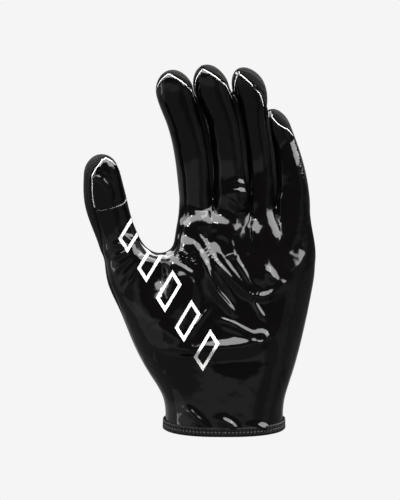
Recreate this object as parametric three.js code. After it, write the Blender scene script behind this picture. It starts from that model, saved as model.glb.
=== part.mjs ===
// A left-hand football receiver glove, shown in its worn form and open at the wrist.
// Millimetres. +Z runs from the cuff to the fingertips, -Y is the palm side, +X is the little-finger side.
// The origin is the middle of the wrist opening. Every piece is a sheet of cloth or grip film with its own
// thickness: the outer skin is one function of an angle and a height, and each piece takes its stretch of it.
import * as THREE from 'three';

// Driving sizes
const wallPalm = 1.2; // grip film on its backing
const wallKnit = 1.2; // knit back
const seamGap = 0.4; // clearance between two sewn edges
const wristWidth = 71;
const wristDepth = 49;
const thumbReach = 73; // from the glove's middle to the thumb side, at the web
const heelReach = 55.5; // from the glove's middle to the little-finger side, at the web
const webHeight = 106; // bottom of the gap between thumb and index finger
const webPlace = -40; // the web's place across the hand
const webSetback = -9.5; // the web's place through the hand
const webRound = 8; // radius of the web's bottom
const webHalf = 4; // half thickness of the web
const webTurn = 12; // the palm and back close onto the web within this distance
const webSpread = 8; // the palm's rounded section reaches this far past the web
const knuckleHeight = 141; // bottom of the gap between the index and middle fingers
const knuckleWidth = 79; // across the four finger bases
const knuckleMiddle = 12.7; // middle of the four finger bases across the hand
const knuckleDepth = 27;
const indexRise = knuckleHeight - webHeight; // the index finger's side between the web and its base
const gussetHeight = indexRise * 0.57; // above the web, where the film's edge has come round to that side
const gussetReach = indexRise * 0.4; // the thumb gusset's reach above the web
const crotchHalf = 3.2; // half width of a side strip at the bottom of a finger gap
const sideHalf = 1; // half width of the flat side where two panels meet directly
const bindingHeight = 5.5;
const bindingWall = 1;
const hemDip = 2; // the cuff's front edge lies this much lower than its sides

// The glove's body from the cuff to the web. height is a share of webHeight. thumb and little place its two
// sides, from the wrist's half width (0) to the reach at the web (1). The rest are shares of wristDepth: how
// far each side leans forward or back, and the palm's and back's depth from the line between the sides.
const bodyRows = [
  { height: 0, thumb: 0, little: 0, thumbLean: 0, littleLean: 0, front: 0.52, back: 0.49 },
  { height: 0.13, thumb: 0, little: 0.01, thumbLean: 0, littleLean: 0, front: 0.51, back: 0.48 },
  { height: 0.22, thumb: 0.06, little: 0.09, thumbLean: -0.01, littleLean: 0, front: 0.5, back: 0.47 },
  { height: 0.36, thumb: 0.28, little: 0.31, thumbLean: -0.04, littleLean: 0.02, front: 0.49, back: 0.45 },
  { height: 0.56, thumb: 0.56, little: 0.59, thumbLean: -0.1, littleLean: 0.04, front: 0.47, back: 0.42 },
  { height: 0.8, thumb: 0.8, little: 0.86, thumbLean: -0.18, littleLean: 0.07, front: 0.43, back: 0.39 },
  { height: 0.9, thumb: 0.9, little: 0.95, thumbLean: -0.22, littleLean: 0.085, front: 0.415, back: 0.375 },
  { height: 1, thumb: 1, little: 1, thumbLean: -0.25, littleLean: 0.1, front: 0.4, back: 0.36 },
];

// The hand beside and above the thumb. height is 0 at the cuff, 1 at the web and 2 at the knuckles. left runs
// from the top of the web's round bottom (0) to the index finger's side (1), and right from the reach at the
// web (0) to the little finger's side (1). Lean, front and back are shares of knuckleDepth.
const levelAt = (height) => (height < 1 ? height * webHeight : webHeight + (height - 1) * indexRise);
const handRows = [
  { height: 0, left: 0, right: 0, littleLean: 0, front: 0.6, back: 0.6 },
  { height: 0.532, left: 0, right: 0, littleLean: 0.11, front: 0.68, back: 0.62 },
  { height: 0.825, left: 0, right: 0, littleLean: 0.15, front: 0.72, back: 0.64 },
  { height: 1, left: 0, right: 0, littleLean: 0.19, front: 0.68, back: 0.61 },
  { height: 1.154, left: 0.3, right: 0.04, littleLean: 0.21, front: 0.65, back: 0.59 },
  { height: 1.355, left: 0.62, right: 0.22, littleLean: 0.23, front: 0.61, back: 0.56 },
  { height: 1.678, left: 0.88, right: 0.65, littleLean: 0.28, front: 0.56, back: 0.51 },
  { height: 2, left: 1, right: 1, littleLean: 0.33, front: 0.5, back: 0.46 },
].map((row) => ({ ...row, level: levelAt(row.height) }));
const partStart = 0.42; // the parting line's place at the cuff, as a share of its place at the web

// Soft swellings of the palm surface. place is a share of heelReach, height a share of knuckleHeight,
// across and along are radii as shares of knuckleWidth, rise is a share of wristDepth.
const mounds = [
  { place: -0.68, height: 0.5, across: 0.33, along: 0.43, rise: 0.18 }, // ball of the thumb
  { place: 0.61, height: 0.36, across: 0.23, along: 0.43, rise: 0.08 }, // heel of the hand
  { place: 0.11, height: 0.59, across: 0.23, along: 0.33, rise: -0.08 }, // hollow of the palm
  { place: 0.36, height: 0.86, across: 0.38, along: 0.13, rise: 0.03 }, // pads below the fingers
];

// Folds pressed into the palm film, from one end to the other. Places are shares of heelReach, heights of
// knuckleHeight, width of knuckleWidth, and rise of wallPalm (a groove is negative).
const folds = [
  { place: -0.34, height: 0.83, toPlace: 0.07, toHeight: 0.53, width: 0.06, rise: 1 },
  { place: 0.07, height: 0.53, toPlace: 0.6, toHeight: 0.6, width: 0.06, rise: 1 },
  { place: -0.48, height: 0.82, toPlace: -0.07, toHeight: 0.59, width: 0.06, rise: -0.9 },
  { place: -0.07, height: 0.59, toPlace: 0.06, toHeight: 0.5, width: 0.06, rise: -0.9 },
  { place: -0.15, height: 0.55, toPlace: -0.42, toHeight: 0.42, width: 0.06, rise: -0.9 },
  { place: -0.42, height: 0.41, toPlace: 0.3, toHeight: 0.4, width: 0.07, rise: 1 },
];

// The hand's two sides and the three gaps between the fingers: place and setback are shares of knuckleWidth
// from knuckleMiddle, and height is a share of knuckleHeight.
const bases = [
  { place: -0.5, setback: -0.038, height: 1 },
  { place: -0.245, setback: -0.025, height: 1 },
  { place: 0.03, setback: 0.02, height: 1.007 },
  { place: 0.232, setback: 0.07, height: 0.979 },
  { place: 0.5, setback: 0.114, height: 0.936 },
];
const filmWrap = 97; // the film's edge on the little-finger side, in degrees from the front
const indexWrap = 17; // degrees that the film runs further round the index finger's outer side

// Each digit's centre line: along is the share of its length, lean, curl and rise are its offsets from the base
// as shares of the length, and width and depth are half sizes as shares of the digit's own width and depth.
const digits = {
  thumb: { length: 60, width: 25, depth: 23, dome: 0.17, path: [
    { along: 0, lean: 0, curl: 0, rise: 0, width: 0.66, depth: 0.66 },
    { along: 0.04, lean: -0.055, curl: -0.004, rise: 0.04, width: 0.585, depth: 0.64 },
    { along: 0.1, lean: -0.095, curl: -0.012, rise: 0.105, width: 0.54, depth: 0.61 },
    { along: 0.16, lean: -0.12, curl: -0.02, rise: 0.17, width: 0.515, depth: 0.58 },
    { along: 0.34, lean: -0.18, curl: -0.07, rise: 0.36, width: 0.49, depth: 0.52 },
    { along: 0.52, lean: -0.225, curl: -0.14, rise: 0.54, width: 0.5, depth: 0.5 },
    { along: 0.72, lean: -0.25, curl: -0.22, rise: 0.73, width: 0.465, depth: 0.48 },
    { along: 0.88, lean: -0.26, curl: -0.3, rise: 0.88, width: 0.41, depth: 0.43 },
    { along: 1, lean: -0.26, curl: -0.37, rise: 0.985, width: 0.37, depth: 0.4 },
  ] },
  index: { length: 75, width: knuckleWidth * 0.253, depth: knuckleWidth * 0.253, dome: 0.145, path: [
    { along: 0, lean: 0, curl: 0, rise: 0, width: 0.505, depth: 0.6 },
    { along: 0.22, lean: -0.019, curl: -0.03, rise: 0.23, width: 0.515, depth: 0.52 },
    { along: 0.45, lean: -0.047, curl: -0.075, rise: 0.44, width: 0.53, depth: 0.5 },
    { along: 0.68, lean: -0.106, curl: -0.16, rise: 0.655, width: 0.535, depth: 0.5 },
    { along: 0.86, lean: -0.166, curl: -0.28, rise: 0.825, width: 0.56, depth: 0.5 },
    { along: 1, lean: -0.205, curl: -0.38, rise: 0.99, width: 0.56, depth: 0.47 },
  ] },
  middle: { length: 78, width: knuckleWidth * 0.253, depth: knuckleWidth * 0.253, dome: 0.14, path: [
    { along: 0, lean: 0, curl: 0, rise: 0, width: 0.54, depth: 0.6 },
    { along: 0.22, lean: -0.014, curl: -0.02, rise: 0.225, width: 0.49, depth: 0.52 },
    { along: 0.45, lean: -0.035, curl: -0.065, rise: 0.43, width: 0.5, depth: 0.5 },
    { along: 0.68, lean: -0.08, curl: -0.135, rise: 0.645, width: 0.5, depth: 0.5 },
    { along: 0.86, lean: -0.148, curl: -0.225, rise: 0.815, width: 0.525, depth: 0.49 },
    { along: 1, lean: -0.215, curl: -0.32, rise: 0.99, width: 0.53, depth: 0.46 },
  ] },
  ring: { length: 77, width: knuckleWidth * 0.215, depth: knuckleWidth * 0.234, dome: 0.14, path: [
    { along: 0, lean: 0, curl: 0, rise: 0, width: 0.5, depth: 0.6 },
    { along: 0.22, lean: -0.016, curl: 0.012, rise: 0.22, width: 0.475, depth: 0.52 },
    { along: 0.45, lean: -0.044, curl: -0.025, rise: 0.435, width: 0.48, depth: 0.5 },
    { along: 0.68, lean: -0.076, curl: -0.12, rise: 0.66, width: 0.475, depth: 0.48 },
    { along: 0.86, lean: -0.102, curl: -0.19, rise: 0.84, width: 0.575, depth: 0.5 },
    { along: 1, lean: -0.195, curl: -0.29, rise: 1, width: 0.57, depth: 0.47 },
  ] },
  little: { length: 60, width: knuckleWidth * 0.234, depth: knuckleWidth * 0.234, dome: 0.17, path: [
    { along: 0, lean: 0, curl: 0, rise: 0, width: 0.57, depth: 0.58 },
    { along: 0.22, lean: -0.01, curl: 0.02, rise: 0.21, width: 0.54, depth: 0.53 },
    { along: 0.45, lean: -0.04, curl: 0.03, rise: 0.44, width: 0.48, depth: 0.5 },
    { along: 0.68, lean: -0.092, curl: 0.055, rise: 0.66, width: 0.42, depth: 0.46 },
    { along: 0.86, lean: -0.163, curl: 0, rise: 0.83, width: 0.43, depth: 0.45 },
    { along: 1, lean: -0.23, curl: -0.08, rise: 0.99, width: 0.43, depth: 0.43 },
  ] },
};
const order = ['thumb', 'index', 'middle', 'ring', 'little'];

// Where the palm film ends round a digit, in degrees from its front. along is 0 at the base, 1 where the tip's
// dome starts and 2 at its top. strip is the width in degrees of the side strip behind the film's edge.
const fingerEdges = [
  { along: 0, left: 80, right: 80, strip: 20 },
  { along: 0.2, left: 80, right: 66, strip: 50 },
  { along: 0.8, left: 80, right: 64, strip: 46 },
  { along: 1, left: 78, right: 70, strip: 22 },
  { along: 1.1, left: 74, right: 68, strip: 6 },
  { along: 1.3, left: 56, right: 50, strip: 0 },
  { along: 1.5, left: 22, right: 20, strip: 0 },
];
const indexEdges = fingerEdges.map((row) => ({ ...row, left: row.left + indexWrap }));
const thumbEdges = [
  { along: 0, left: 62, right: 80, strip: 20 },
  { along: 0.2, left: 42, right: 84, strip: 30 },
  { along: 0.6, left: 32, right: 90, strip: 20 },
  { along: 0.85, left: 38, right: 92, strip: 4 },
  { along: 1, left: 40, right: 86, strip: 0 },
  { along: 1.3, left: 30, right: 60, strip: 0 },
  { along: 1.5, left: 14, right: 24, strip: 0 },
];
const thumbBodyEdge = [ // the same edge on the body below the thumb, height as a share of webHeight
  { height: 0, angle: 97 },
  { height: 0.45, angle: 88 },
  { height: 0.8, angle: 72 },
  { height: 1, angle: 62 },
];
const edgesOf = {
  thumb: thumbEdges, index: indexEdges, middle: fingerEdges, ring: fingerEdges, little: fingerEdges,
};
const tipEnd = 1.5; // the film's end on a tip's dome

// Mesh fineness
const acrossSteps = 6; // across one digit's palm surface
const backSteps = 5;
const lowLevels = 16; // palm rows from the cuff to the web
const highLevels = 6; // palm rows from the web to the knuckles
const highBias = 1.6; // draws those rows together at the web
const digitSteps = 9;
const capSteps = 3; // round a tip, where the film has ended
const bindingSteps = 48;

const bodyPower = 0.8;
const digitPower = 0.95;
const sideStart = 80; // degrees from the front where a section's flat side starts
const blendStart = 0.62; // share of webHeight where hand and thumb start to part
const fingerBlendStart = levelAt(1.033) / knuckleHeight; // share of it where the fingers start to part
const baseBlend = 0.22; // share of a digit's length in which its base line turns into its own section
const stripFade = 0.2; // share of a digit's length in which a side strip grows to its full width
const stripRoom = 1.3; // a side strip's clearance along its edges, in seam gaps
const flatFade = 0.83; // share in which a digit's flat side narrows from the gap's bottom to a plain seam
const hemFade = 0.4; // share of webHeight in which the hem's dip fades out
const nearTip = 1.9; // edges at a tip's top are taken from this place on its dome

const nudge = 1e-3; // a small step along a list, for slopes

const mix = (a, b, share) => a + (b - a) * share;
const clamp = (value) => Math.min(1, Math.max(0, value));
const ease = (value) => { const x = clamp(value); return x * x * x * (x * (6 * x - 15) + 10); };
const radians = THREE.MathUtils.degToRad;
const degrees = THREE.MathUtils.radToDeg;
const vector = (x, y, z) => new THREE.Vector3(x, y, z);
const flatSine = Math.sin(radians(sideStart));
const flatCosine = Math.cos(radians(sideStart));

// Natural cubic spline through a table's rows: the value of one column at a place in its first column.
const splines = new Map();
function columnAt(rows, key, column, value) {
  if (!splines.has(rows)) splines.set(rows, {});
  const kept = splines.get(rows);
  if (!kept[column]) kept[column] = splineOf(rows.map((row) => row[key]), rows.map((row) => row[column]));
  return kept[column](value);
}
function splineOf(places, values) {
  const last = places.length - 1;
  const steps = places.slice(1).map((place, i) => place - places[i]);
  const slopes = steps.map((step, i) => (values[i + 1] - values[i]) / step);
  const diagonal = [1], right = [0];
  for (let i = 1; i < last; i += 1) { // forward elimination of the bending equations
    const share = i > 1 ? steps[i - 1] / diagonal[i - 1] : 0;
    diagonal[i] = 2 * (steps[i - 1] + steps[i]) - share * (i > 1 ? steps[i - 1] : 0);
    right[i] = 6 * (slopes[i] - slopes[i - 1]) - share * (i > 1 ? right[i - 1] : 0);
  }
  const bends = new Array(last + 1).fill(0);
  for (let i = last - 1; i > 0; i -= 1) bends[i] = (right[i] - steps[i] * bends[i + 1]) / diagonal[i];
  return (value) => {
    const x = Math.min(places[last], Math.max(places[0], value));
    let i = 0;
    while (i < last - 1 && x > places[i + 1]) i += 1;
    const step = steps[i], a = places[i + 1] - x, b = x - places[i];
    return (bends[i] * a ** 3 + bends[i + 1] * b ** 3) / (6 * step)
      + (values[i] / step - bends[i] * step / 6) * a + (values[i + 1] / step - bends[i + 1] * step / 6) * b;
  };
}

// One section: how far a point lies across (-1 to 1) and through (to the front or back depth) at an angle,
// with a flat side of the given half width between the front and back halves.
function sectionAt(angle, power, front, back, flat) {
  const s = Math.sin(radians(angle)), c = Math.cos(radians(angle));
  const across = Math.sign(s) * Math.min(Math.abs(s) / flatSine, 1) ** power;
  const depth = (c > 0 ? front : back) - flat;
  const round = Math.max(0, (Math.abs(c) - flatCosine) / (1 - flatCosine)) ** power;
  const through = flat * Math.min(1, Math.max(-1, c / flatCosine)) + Math.sign(c) * depth * round;
  return { across, through };
}
const angleAcross = (share, power) =>
  degrees(Math.asin(Math.sign(share) * Math.min(1, Math.abs(share)) ** (1 / power) * flatSine));

function swelling(x, z) {
  return mounds.reduce((sum, row) => sum + row.rise * wristDepth * Math.exp(
    -(((x - row.place * heelReach) / (row.across * knuckleWidth)) ** 2)
    - ((z - row.height * knuckleHeight) / (row.along * knuckleWidth)) ** 2), 0);
}

// Height added to a level near the cuff: the hem dips at the palm and rises toward the back.
const hemRise = (angle, level) =>
  hemDip * (1 - Math.cos(radians(angle))) * (1 - ease(level / (webHeight * hemFade)));

// The body's section at a level, from the cuff to the web.
function bodySides(level) {
  const at = (column) => columnAt(bodyRows, 'height', column, level / webHeight);
  return {
    left: -mix(wristWidth / 2, thumbReach, at('thumb')),
    right: mix(wristWidth / 2, heelReach, at('little')),
    leanLeft: at('thumbLean') * wristDepth,
    leanRight: at('littleLean') * wristDepth,
    front: at('front') * wristDepth,
    back: at('back') * wristDepth,
  };
}
function placeOn(sides, section, level, flat) {
  const x = mix(sides.left, sides.right, (section.across + 1) / 2);
  const lean = mix(sides.leanLeft, sides.leanRight, (section.across + 1) / 2);
  const swell = swelling(x, level) * clamp((section.through - flat) / (sides.front - flat));
  return vector(x, lean - section.through - swell, level);
}
function bodyPoint(angle, level) {
  const sides = bodySides(level);
  const section = sectionAt(angle, bodyPower, sides.front, sides.back, sideHalf);
  const point = placeOn(sides, section, level, sideHalf);
  point.z += hemRise(angle, level);
  return point;
}
function bodyAngleAt(x, level, back) {
  const sides = bodySides(level);
  const angle = angleAcross((2 * x - sides.left - sides.right) / (sides.right - sides.left), bodyPower);
  return back ? 180 - angle : angle;
}

// The hand's section at a level. Below the web its left edge is the line where hand and thumb part.
function handSides(level) {
  const at = (column) => columnAt(handRows, 'level', column, level);
  const indexSide = knuckleMiddle + bases[0].place * knuckleWidth;
  const round = clamp((level - webHeight) / webRound);
  const above = webPlace + webRound * Math.sqrt(2 * round - round * round)
    + (indexSide - webPlace - webRound) * at('left');
  const left = level > webHeight ? above : webPlace * mix(partStart, 1, level / webHeight);
  const reach = bodySides(Math.min(level, webHeight)).right;
  const right = mix(reach, knuckleMiddle + knuckleWidth / 2, at('right'));
  const leanRight = at('littleLean') * knuckleDepth;
  const leanSlope = level > webHeight ? (leanRight - webSetback) / (right - webPlace) : 0;
  const leanWeb = webSetback + leanSlope * (left - webPlace);
  const risen = ease((level - webHeight) / (knuckleHeight - webHeight));
  return {
    left, right, leanRight,
    leanLeft: mix(leanWeb, bases[0].setback * knuckleWidth, risen),
    front: at('front') * knuckleDepth,
    back: at('back') * knuckleDepth,
  };
}
// Where the palm's rounded section would end on the thumb side, ahead of the web's sharper turn.
const sectionLeft = (level) => mix(webPlace - webSpread, knuckleMiddle + bases[0].place * knuckleWidth,
  ease((level - webHeight) / (knuckleHeight - webHeight)));
const webHalfAt = (level) => mix(webHalf, sideHalf, ease((level - webHeight) / gussetHeight));
function handPoint(angle, level) {
  const sides = handSides(level);
  const flat = Math.sin(radians(angle)) < 0 ? webHalfAt(level) : sideHalf;
  const section = sectionAt(angle, bodyPower, sides.front, sides.back, flat);
  const x = mix(sides.left, sides.right, (section.across + 1) / 2);
  const turn = clamp((x - sides.left) / webTurn); // the web's edge closes within this distance
  if (Math.abs(section.across) < 1) {
    const left = sectionLeft(level);
    const wide = angleAcross((2 * x - left - sides.right) / (sides.right - left), bodyPower);
    const depth = Math.cos(radians(angle)) > 0 ? sides.front : sides.back;
    const deep = sectionAt(wide, bodyPower, depth, 0, sideHalf);
    section.through = Math.sign(Math.cos(radians(angle)))
      * mix(flat, Math.max(flat, deep.through), Math.sqrt(2 * turn - turn * turn));
  }
  return placeOn(sides, section, level, flat);
}

// The hand's surface from the cuff to the knuckles, where the body's depth turns into the hand's below the web.
function handSurface(angle, level) {
  const point = handPoint(angle, level);
  if (level >= webHeight) return point;
  const straight = angle >= sideStart && angle <= 180 - sideStart; // on the flat side the angles are the same
  const isBack = Math.cos(radians(angle)) < 0;
  const onBody = bodyPoint(straight ? angle : bodyAngleAt(point.x, level, isBack), level);
  const share = ease((level / webHeight - blendStart) / (1 - blendStart));
  return vector(point.x, mix(onBody.y, point.y, share), onBody.z);
}

// The two ends of a digit's base line.
function baseEnds(name) {
  const place = (row) => vector(knuckleMiddle + row.place * knuckleWidth, row.setback * knuckleWidth,
    row.height * knuckleHeight);
  if (name === 'thumb') {
    const sides = bodySides(webHeight);
    return [vector(sides.left, sides.leanLeft, webHeight), vector(webPlace, webSetback, webHeight)];
  }
  const first = order.indexOf(name) - 1;
  return [place(bases[first]), place(bases[first + 1])];
}

// Half width of the flat side of a digit. Sides that face a neighbour start as wide as the gap's bottom.
const stripped = { thumb: [false, true], index: [false, true], middle: [true, true], ring: [true, true],
  little: [true, false] };
function flatOf(name, angle, along) {
  const onRight = Math.sin(radians(angle)) > 0;
  if (!stripped[name][onRight ? 1 : 0]) return sideHalf;
  return mix(name === 'thumb' ? webHalf : crotchHalf, sideHalf, ease(along / flatFade));
}

// A digit's skin. along runs from 0 at its base to 1 at the start of the tip's dome and 2 at its top.
function digitPoint(name, angle, along) {
  const digit = digits[name];
  const [start, end] = baseEnds(name);
  const base = start.clone().lerp(end, 0.5);
  const tip = radians(90) * clamp(along - 1);
  const t = Math.min(along, 1) * (1 - digit.dome) + digit.dome * Math.sin(tip);
  const at = (column, place = t) => columnAt(digit.path, 'along', column, place);
  const centreAt = (place) => vector(at('lean', place), at('curl', place), at('rise', place))
    .multiplyScalar(digit.length).add(base);
  const forward = centreAt(Math.min(1, t + nudge)).sub(centreAt(Math.max(0, t - nudge))).normalize();
  const started = ease(t / baseBlend);
  const front = vector(0, -1, 0);
  const outSquare = front.clone().addScaledVector(forward, -forward.dot(front)).normalize();
  const out = front.clone().lerp(outSquare, started).normalize();
  const baseLine = end.clone().sub(start).normalize();
  const across = baseLine.lerp(forward.clone().cross(outSquare), started).normalize();
  const half = at('width') * digit.width
    + (start.distanceTo(end) / 2 - at('width', 0) * digit.width) * (1 - started);
  const deep = at('depth') * digit.depth;
  const section = sectionAt(angle, digitPower, deep, deep, flatOf(name, angle, along));
  return centreAt(t).addScaledVector(across, half * section.across * Math.cos(tip))
    .addScaledVector(out, section.through * Math.cos(tip));
}

// The turn in degrees that moves a point of a section by the seam's gap.
function gapAngle(pointAt, angle) {
  const turn = 0.5; // degrees to either side
  return 2 * turn * seamGap / pointAt(angle + turn).distanceTo(pointAt(angle - turn));
}

// Where film, side strips and back end round a digit, as angles from its front to either side.
function digitEdges(name, along) {
  const rows = edgesOf[name];
  const at = (column) => columnAt(rows, 'along', column, along);
  const pointAt = (angle) => digitPoint(name, angle, Math.min(along, nearTip));
  const strip = Math.max(0, at('strip'));
  const left = at('left'), right = at('right');
  const backOf = (edge, side, has) => edge + Math.max(has ? strip : 0, gapAngle(pointAt, side * edge));
  const backLeft = backOf(left, -1, stripped[name][0]);
  const backRight = backOf(right, 1, stripped[name][1]);
  return { left, right, backLeft, backRight };
}

// A point of a side strip, at a share of its width from the film to the back. Near the bottom of a finger gap,
// where film and back turn in over the strip's wall, the strip is narrower by that wall.
function stripPoint(name, side, share, along) {
  const edges = digitEdges(name, along);
  const pointAt = (angle) => digitPoint(name, angle, along);
  const [front, back] = side > 0 ? [edges.right, edges.backRight] : [-edges.left, -edges.backLeft];
  const room = side * (stripRoom + wallPalm / seamGap * (1 - ease(along / stripFade)));
  return pointAt(mix(front + room * gapAngle(pointAt, front), back - room * gapAngle(pointAt, back), share));
}
// The film's edge beside the web, which wraps further round on the way up the index finger's side.
const handEdge = (level) => sideStart + indexWrap * ease((level - webHeight) / gussetHeight);

// The same edges on the body or hand below a digit, as the angles of its section.
function lowEdges(name, level, back) {
  const pointAt = (angle) => (name === 'thumb' ? bodyPoint : handSurface)(angle, level);
  if (name === 'thumb') {
    const edge = columnAt(thumbBodyEdge, 'height', 'angle', level / webHeight);
    const part = bodyAngleAt(handSides(level).left, level, back);
    return back ? [part, 360 - edge - gapAngle(pointAt, -edge)] : [-edge, part];
  }
  const first = order.indexOf(name) - 1;
  const angleOf = (row) => angleAcross(2 * row.place, bodyPower);
  if (back) {
    const wrapped = filmWrap + gapAngle(pointAt, filmWrap);
    return [name === 'little' ? wrapped : 180 - angleOf(bases[first + 1]), 180 - angleOf(bases[first])];
  }
  return [name === 'index' ? -handEdge(level) : angleOf(bases[first]),
    name === 'little' ? filmWrap : angleOf(bases[first + 1])];
}

// The skin below a digit: the body or hand, which turns into the digit's own base section on the way up.
function lowPoint(name, share, level, back) {
  const [start, end] = baseEnds(name);
  const [from, to] = lowEdges(name, level, back);
  const top = name === 'thumb' ? webHeight : knuckleHeight;
  const edges = digitEdges(name, 0);
  const [digitFrom, digitTo] = back ? [edges.backRight, 360 - edges.backLeft] : [-edges.left, edges.right];
  const host = (at, height = level, ends = [from, to]) => {
    const point = (name === 'thumb' ? bodyPoint : handSurface)(mix(...ends, at), height);
    const heights = back ? [end.z, start.z] : [start.z, end.z];
    const reach = (mix(...heights, at) - webHeight) / (knuckleHeight - webHeight);
    if (name !== 'thumb' && height > webHeight) point.z = webHeight + (height - webHeight) * reach;
    return point;
  };
  const topEnds = lowEdges(name, top, back);
  const shift = [0, 1].map((at) => host(at).sub(host(at, top, topEnds)).setY(0));
  const onDigit = digitPoint(name, mix(digitFrom, digitTo, share), 0).add(shift[0].lerp(shift[1], share));
  const parting = name === 'thumb' ? blendStart : fingerBlendStart;
  return host(share).lerp(onDigit, ease((level / top - parting) / (1 - parting)));
}

// A sheet under construction: patches of a grid, joined where their points meet.
class Sheet {
  constructor() { this.points = []; this.faces = []; this.found = new Map(); this.outward = []; }

  point(position) {
    const perMillimetre = 1e4, shift = 0.237; // the shift keeps round numbers off the limits of the rounding
    const key = position.toArray().map((value) => Math.round(value * perMillimetre + shift)).join();
    if (!this.found.has(key)) this.found.set(key, this.points.push(position) - 1);
    return this.found.get(key);
  }

  // pointAt takes a place of each list. Columns run to the right, seen from outside with the rows upward.
  patch(columns, rows, pointAt) {
    const turn = Math.sign((rows.at(-1) - rows[0]) * (columns.at(-1) - columns[0])); // or backwards
    const grid = rows.map((row) => columns.map((column) => {
      const index = this.point(pointAt(column, row));
      const acrossStep = pointAt(column + nudge, row).sub(pointAt(column - nudge, row));
      const upStep = pointAt(column, row + nudge).sub(pointAt(column, row - nudge));
      this.outward[index] ??= vector(0, 0, 0);
      this.outward[index].addScaledVector(acrossStep.cross(upStep).normalize(), turn);
      return index;
    }));
    for (let j = 1; j < rows.length; j += 1) {
      for (let i = 1; i < columns.length; i += 1) {
        const [a, b, c, d] = [grid[j - 1][i - 1], grid[j - 1][i], grid[j][i], grid[j][i - 1]];
        for (const face of [[a, b, c], [a, c, d]]) if (new Set(face).size === 3) this.faces.push(face);
      }
    }
    return this;
  }

  // Outward directions from the skin's own slopes; at a tip, where they vanish, from the faces round it.
  normals() {
    const byFaces = this.points.map(() => vector(0, 0, 0));
    for (const [a, b, c] of this.faces) {
      const [p, q, r] = [this.points[a], this.points[b], this.points[c]];
      const normal = q.clone().sub(p).cross(r.clone().sub(p));
      for (const corner of [a, b, c]) byFaces[corner].add(normal);
    }
    const least = 0.3; // slopes that add up to less cancel one another
    return this.outward.map((normal, i) => (normal.length() > least ? normal : byFaces[i]).clone().normalize());
  }

  emboss(heightAt) {
    this.normals().forEach((normal, i) => this.points[i].addScaledVector(normal, heightAt(this.points[i])));
    return this;
  }

  // The sheet with its wall: its own faces outside, the same faces moved inward, and a band on each free edge.
  solid(wall) {
    const count = this.points.length;
    const inner = this.normals().map((normal, i) => this.points[i].clone().addScaledVector(normal, -wall));
    const faces = [...this.faces];
    for (const [a, b, c] of this.faces) faces.push([a + count, c + count, b + count]);
    const used = new Set(this.faces.flatMap(([a, b, c]) => [`${a} ${b}`, `${b} ${c}`, `${c} ${a}`]));
    for (const edge of used) {
      const [a, b] = edge.split(' ').map(Number);
      if (used.has(`${b} ${a}`)) continue;
      faces.push([b, a, a + count], [b, a + count, b + count]);
    }
    const geometry = new THREE.BufferGeometry();
    const places = [...this.points, ...inner].flatMap((point) => point.toArray());
    geometry.setAttribute('position', new THREE.Float32BufferAttribute(places, 3));
    geometry.setIndex(faces.flat());
    geometry.computeVertexNormals();
    return geometry;
  }
}

const steps = (from, to, count) => Array.from({ length: count + 1 }, (_, i) => mix(from, to, i / count));
const hemLevel = bindingWall + seamGap;
const lowRows = steps(hemLevel, webHeight, lowLevels);
const highRows = steps(0, 1, highLevels).map((share) => mix(webHeight, knuckleHeight, share ** highBias));
const padStart = 0.62; // the thumb pad's lower edge along the thumb
const digitRows = steps(0, 1, digitSteps);
const thumbRows = [...steps(0, padStart, 6), ...steps(padStart, 1, 4).slice(1)];
const stripEnds = { thumb: 0.81, finger: 1.08 }; // the side strips' ends along their digits
const domeRows = [1, stripEnds.finger, 1.25, 1.38, tipEnd];

// Height of the pressed folds at a point of the palm.
function foldHeight(point) {
  return folds.reduce((sum, row) => {
    const start = new THREE.Vector2(row.place * heelReach, row.height * knuckleHeight);
    const run = new THREE.Vector2(row.toPlace * heelReach, row.toHeight * knuckleHeight).sub(start);
    const at = new THREE.Vector2(point.x, point.z).sub(start);
    const distance = at.sub(run.clone().multiplyScalar(clamp(at.dot(run) / run.lengthSq()))).length();
    return sum + row.rise * wallPalm * Math.exp(-((distance / (row.width * knuckleWidth)) ** 2));
  }, 0);
}

function palmPanel() {
  const sheet = new Sheet();
  const columns = steps(0, 1, acrossSteps);
  for (const name of order) {
    const isThumb = name === 'thumb';
    sheet.patch(columns, lowRows, (share, level) => lowPoint(name, share, level, false));
    if (!isThumb) sheet.patch(columns, highRows, (share, level) => lowPoint(name, share, level, false));
    sheet.patch(columns, isThumb ? thumbRows.filter((along) => along <= padStart) : digitRows, filmOf(name));
    if (!isThumb) sheet.patch(columns, domeRows, filmOf(name));
  }
  return sheet.emboss((point) => foldHeight(point)).solid(wallPalm);
}
function filmOf(name) {
  return (share, along) => {
    const edges = digitEdges(name, along);
    return digitPoint(name, mix(-edges.left, edges.right, share), along);
  };
}

function thumbPad() {
  const start = padStart + seamGap / (digits.thumb.length * (1 - digits.thumb.dome));
  const columns = steps(0, 1, acrossSteps);
  const rows = [start, ...thumbRows.filter((along) => along > padStart)];
  const film = filmOf('thumb');
  return new Sheet().patch(columns, rows, film).patch(columns, domeRows, film).solid(wallPalm);
}

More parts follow.
